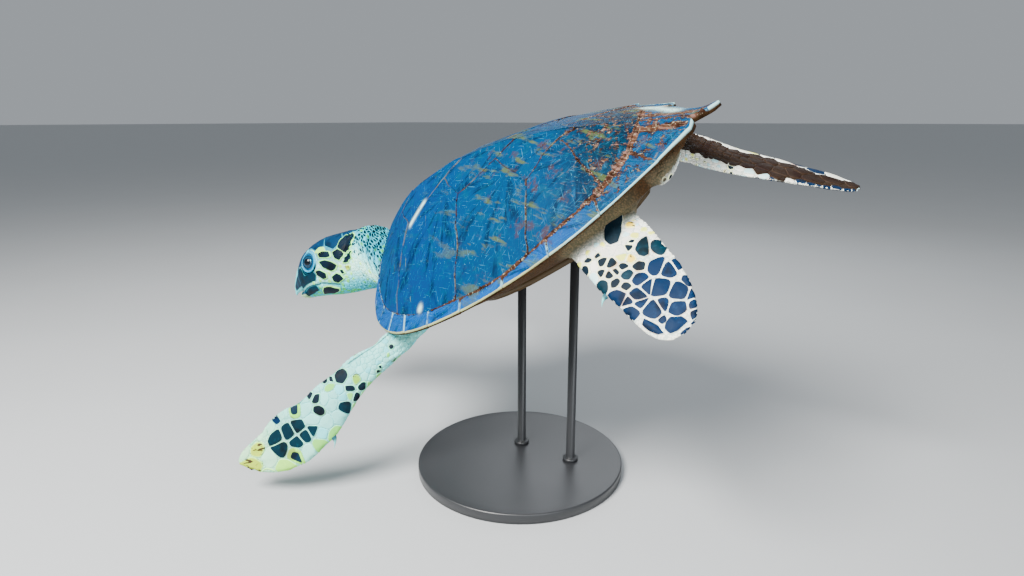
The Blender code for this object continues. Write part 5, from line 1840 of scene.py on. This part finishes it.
def jaw_chart(rows):
    """Rings along a jaw's horn, from under the skin to its tip."""
    origin, forward, side, up = head_frame()
    grid = []
    first, last = rows[0][0], rows[-1][0]
    for x in first + (last - first) * np.sin(np.linspace(0, math.pi / 2, JAW_RINGS)) ** 1.2:
        half, top, bottom = sizes_at(rows, x)
        centre = origin + (forward * x + up * (top + bottom) / 2) * HEAD_LENGTH
        tall = (top - bottom) / 2 * HEAD_LENGTH
        grid.append(ring_from_top(centre, side, up, half * HEAD_LENGTH, tall, tall, 2.1, JAW_COLUMNS))
    return Chart(np.array(grid))


JAW_RINGS = 64
JAW_COLUMNS = 96


def add_beak(finish):
    origin, forward, side, up = head_frame()
    for name, rows, cutting in (("beak_upper", BEAK_UPPER, -1), ("beak_lower", BEAK_LOWER, 1)):
        chart = jaw_chart(rows)
        a, q = chart.turns()
        turn = q * 2 * math.pi
        low = (1 + cutting * np.cos(turn)) / 2
        rough = 0.0005 * noise(np.sin(turn) * 9, np.cos(turn) * 9, a * 2.5, 31)
        grid = chart.grid + chart.normals * (rough / SHELL_LENGTH)[..., None]
        points, faces = loft_grid(grid)
        local = (points - origin) / HEAD_LENGTH
        ray = np.column_stack([local @ forward, local @ up, local @ side])
        ridge = smooth(0.50, 0.66, 1 - low) * smooth(0.05, 0.25, a)
        edge = np.maximum(smooth(0.80, 0.97, low) * smooth(0.0, 0.1, a), ridge)
        ahead = (grid - origin) @ forward / HEAD_LENGTH
        edge = np.maximum(edge, smooth(rows[-1][0] - 0.060, rows[-1][0] - 0.030, ahead))
        if cutting > 0:
            edge = np.maximum(1 - smooth(0.35, 0.60, low), smooth(0.45, 0.8, a))
        warm = np.full(len(points), 0.0 if cutting < 0 else 0.8)
        made = build(name, points, faces, finish, {
            "ray": ray, "warm": warm, "edge": np.concatenate([edge.ravel(), [0, 1]])})
        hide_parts(name)


def add_eyes(finish):
    for name, sign in (("eye_left", 1), ("eye_right", -1)):
        centre, out, along, down = eye_axes(sign)
        radius = EYE_RADIUS * HEAD_LENGTH
        angle = np.linspace(0, 2 * math.pi, 64, endpoint=False)
        circle = np.outer(np.cos(angle), along) + np.outer(np.sin(angle), down)
        rings = []
        for t in np.linspace(0.02, math.pi - 0.02, 48):
            bulge = 1 + 0.045 * bell(t, 0, 0.5)
            rings.append(centre + radius * bulge * (math.cos(t) * out + math.sin(t) * circle))
        points, faces = loft_grid(np.array(rings))
        local = (points - centre) / radius
        gaze = np.arccos(np.clip(unit(local) @ out, -1, 1))
        flat = np.column_stack([local @ along, local @ down])
        ray = np.column_stack([unit(flat), gaze])
        made = build(name, points, faces, finish, {"gaze": gaze, "ray": ray})
        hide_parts(name)


def add_claws(finish):
    for key, fin in FINS.items():
        share, length, radius = FRONT_CLAW if key.startswith("front") else REAR_CLAW
        spine, chord, blade = fin
        number = len(spine) - 1
        spot = path(spine, share * number)
        ahead = unit(path(spine, (share + 0.02) * number) - spot)
        lead = unit(np.array(chord[1]) - ahead * np.dot(unit(chord[1]), ahead) * np.linalg.norm(chord[1]))
        front = sizes_at(blade, share)[0]
        normal = np.cross(lead, ahead)
        root = spot + lead * (front + 0.0012 / SHELL_LENGTH)
        rings = []
        for step in np.linspace(-0.25, 1, 26):
            bend = max(step, 0)
            centre = root + (lead * (0.75 * step) + ahead * (0.25 * bend + 0.75 * bend**2) * 0.8) * length
            size = radius * (1 - 0.93 * smooth(-0.2, 1.15, step))
            rings.append(ring_from_top(centre, ahead, normal, size, size * 0.7, size * 0.7, 2.0, 32))
        points, faces = loft_grid(np.array(rings))
        local = (points - root) / length
        ray = np.column_stack([local @ lead, local @ ahead, local @ normal])
        edge = 0.35 + 0.65 * smooth(0.0, 0.6, local @ lead)
        made = build(f"claw_{key}", points, faces, finish, {
            "ray": ray, "edge": edge, "warm": np.full(len(points), 0.15)})
        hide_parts(f"claw_{key}")


def add_stand(finish):
    bevel = 0.003
    angle = np.linspace(0, 2 * math.pi, 160, endpoint=False)
    circle = np.column_stack([np.cos(angle), np.sin(angle)])
    profile = [(BASE_RADIUS * 0.4, 0.0), (BASE_RADIUS - 0.002, 0.0), (BASE_RADIUS, 0.001)]
    profile += [(BASE_RADIUS - bevel + bevel * math.cos(t), BASE_THICKNESS - bevel + bevel * math.sin(t))
                for t in np.linspace(0, math.pi / 2, 7)]
    profile += [(BASE_RADIUS - 0.018, BASE_THICKNESS), (BASE_RADIUS * 0.4, BASE_THICKNESS)]
    grid = np.array([np.column_stack([circle * r, np.full(len(circle), z)]) for r, z in profile])
    points, faces = loft_grid(grid)
    made = build("stand_base_round", points, faces, finish, metres=True)
    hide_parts("stand_base")
    down = TURN @ np.array([0.0, 0.0, -1.0])
    ring = circle[::4]
    for name, station in zip(("stand_rod_front", "stand_rod_rear"), sorted(ROD_STATIONS, reverse=True)):
        seat = place([(station, 0.0, -BELLY_DEPTH)])[0]
        rows = [(ROD_RADIUS * 0.2, BASE_THICKNESS - 0.001), (ROD_RADIUS * 1.75, BASE_THICKNESS - 0.001),
                (ROD_RADIUS * 1.75, BASE_THICKNESS + 0.0045), (ROD_RADIUS * 1.55, BASE_THICKNESS + 0.006),
                (ROD_RADIUS * 1.05, BASE_THICKNESS + 0.006), (ROD_RADIUS, BASE_THICKNESS + 0.0068)]
        rings = [np.column_stack([ring * r + seat[:2], np.full(len(ring), z)]) for r, z in rows]
        top = ring * ROD_RADIUS + seat[:2]
        fall = (down[0] * (top[:, 0] - seat[0]) + down[1] * (top[:, 1] - seat[1])) / down[2]
        rings.append(np.column_stack([top, seat[2] - fall + 0.002]))
        points, faces = loft_grid(np.array(rings))
        made = build(name + "_turned", points, faces, finish, metres=True)
        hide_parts(name)


# The camera of the photo: its lens in mm for a sensor 36 mm wide, its place in body coordinates, its axes.
CAMERA_LENS = 22.54
CAMERA_PLACE = (-0.46393, 1.27833, 0.53807)
CAMERA_RIGHT = (-0.72396, -0.30559, -0.61846)
CAMERA_UP = (-0.29244, -0.67603, 0.67636)
CAMERA_BACK = (-0.62479, 0.67052, 0.40006)
FLOOR_REACH = 90.0
LIGHT_TARGET = (0, 0, 0.35)


def add_camera():
    camera = bpy.data.cameras.new("camera")
    camera.lens = CAMERA_LENS
    camera.sensor_width = 36.0
    made = linked("camera", camera)
    columns = [TURN @ np.array(v) for v in (CAMERA_RIGHT, CAMERA_UP, CAMERA_BACK)]
    matrix = Matrix.Identity(4)
    for k, column in enumerate(columns + [place([CAMERA_PLACE])[0]]):
        for i in range(3):
            matrix[i][k] = column[i]
    made.matrix_world = matrix
    bpy.context.scene.camera = made


def add_light(name, spot, size, power, colour):
    light = bpy.data.lights.new(name, "AREA")
    light.shape = "DISK"
    light.size = size
    light.energy = power
    light.color = colour
    made = linked(name, light)
    made.location = spot
    made.rotation_euler = (Vector(spot) - Vector(LIGHT_TARGET)).to_track_quat("Z", "Y").to_euler()


def add_surroundings():
    mesh = bpy.data.meshes.new("floor")
    corners = [(x * FLOOR_REACH, y * FLOOR_REACH, 0) for x, y in ((-1, -1), (1, -1), (1, 1), (-1, 1))]
    mesh.from_pydata(corners, [], [(0, 1, 2, 3)])
    mesh.materials.append(floor_paint())
    floor = linked("floor", mesh)
    world = bpy.data.worlds.new("studio")
    world.use_nodes = True
    background = world.node_tree.nodes["Background"].inputs
    background["Color"].default_value = (0.80, 0.86, 0.92, 1)
    background["Strength"].default_value = 0.44
    bpy.context.scene.world = world
    add_light("key", (1.9, -0.2, 2.3), 1.3, 270, (1.0, 0.98, 0.95))
    add_light("fill", (1.4, 2.2, 1.2), 2.0, 40, (0.90, 0.96, 1.0))
    add_light("back", (-2.2, -0.8, 1.8), 2.0, 22, (0.90, 0.95, 1.0))


def main():
    add_camera()
    add_surroundings()
    add_shell(shell_paint("shell", False), shell_paint("rim", True), plastron_paint())
    add_flesh(skin_paint("skin", False), skin_paint("scales", True))
    horn = horn_paint("horn")
    add_beak(horn)
    add_claws(horn)
    add_eyes(eye_paint())
    add_stand(stand_paint("stand"))


main()
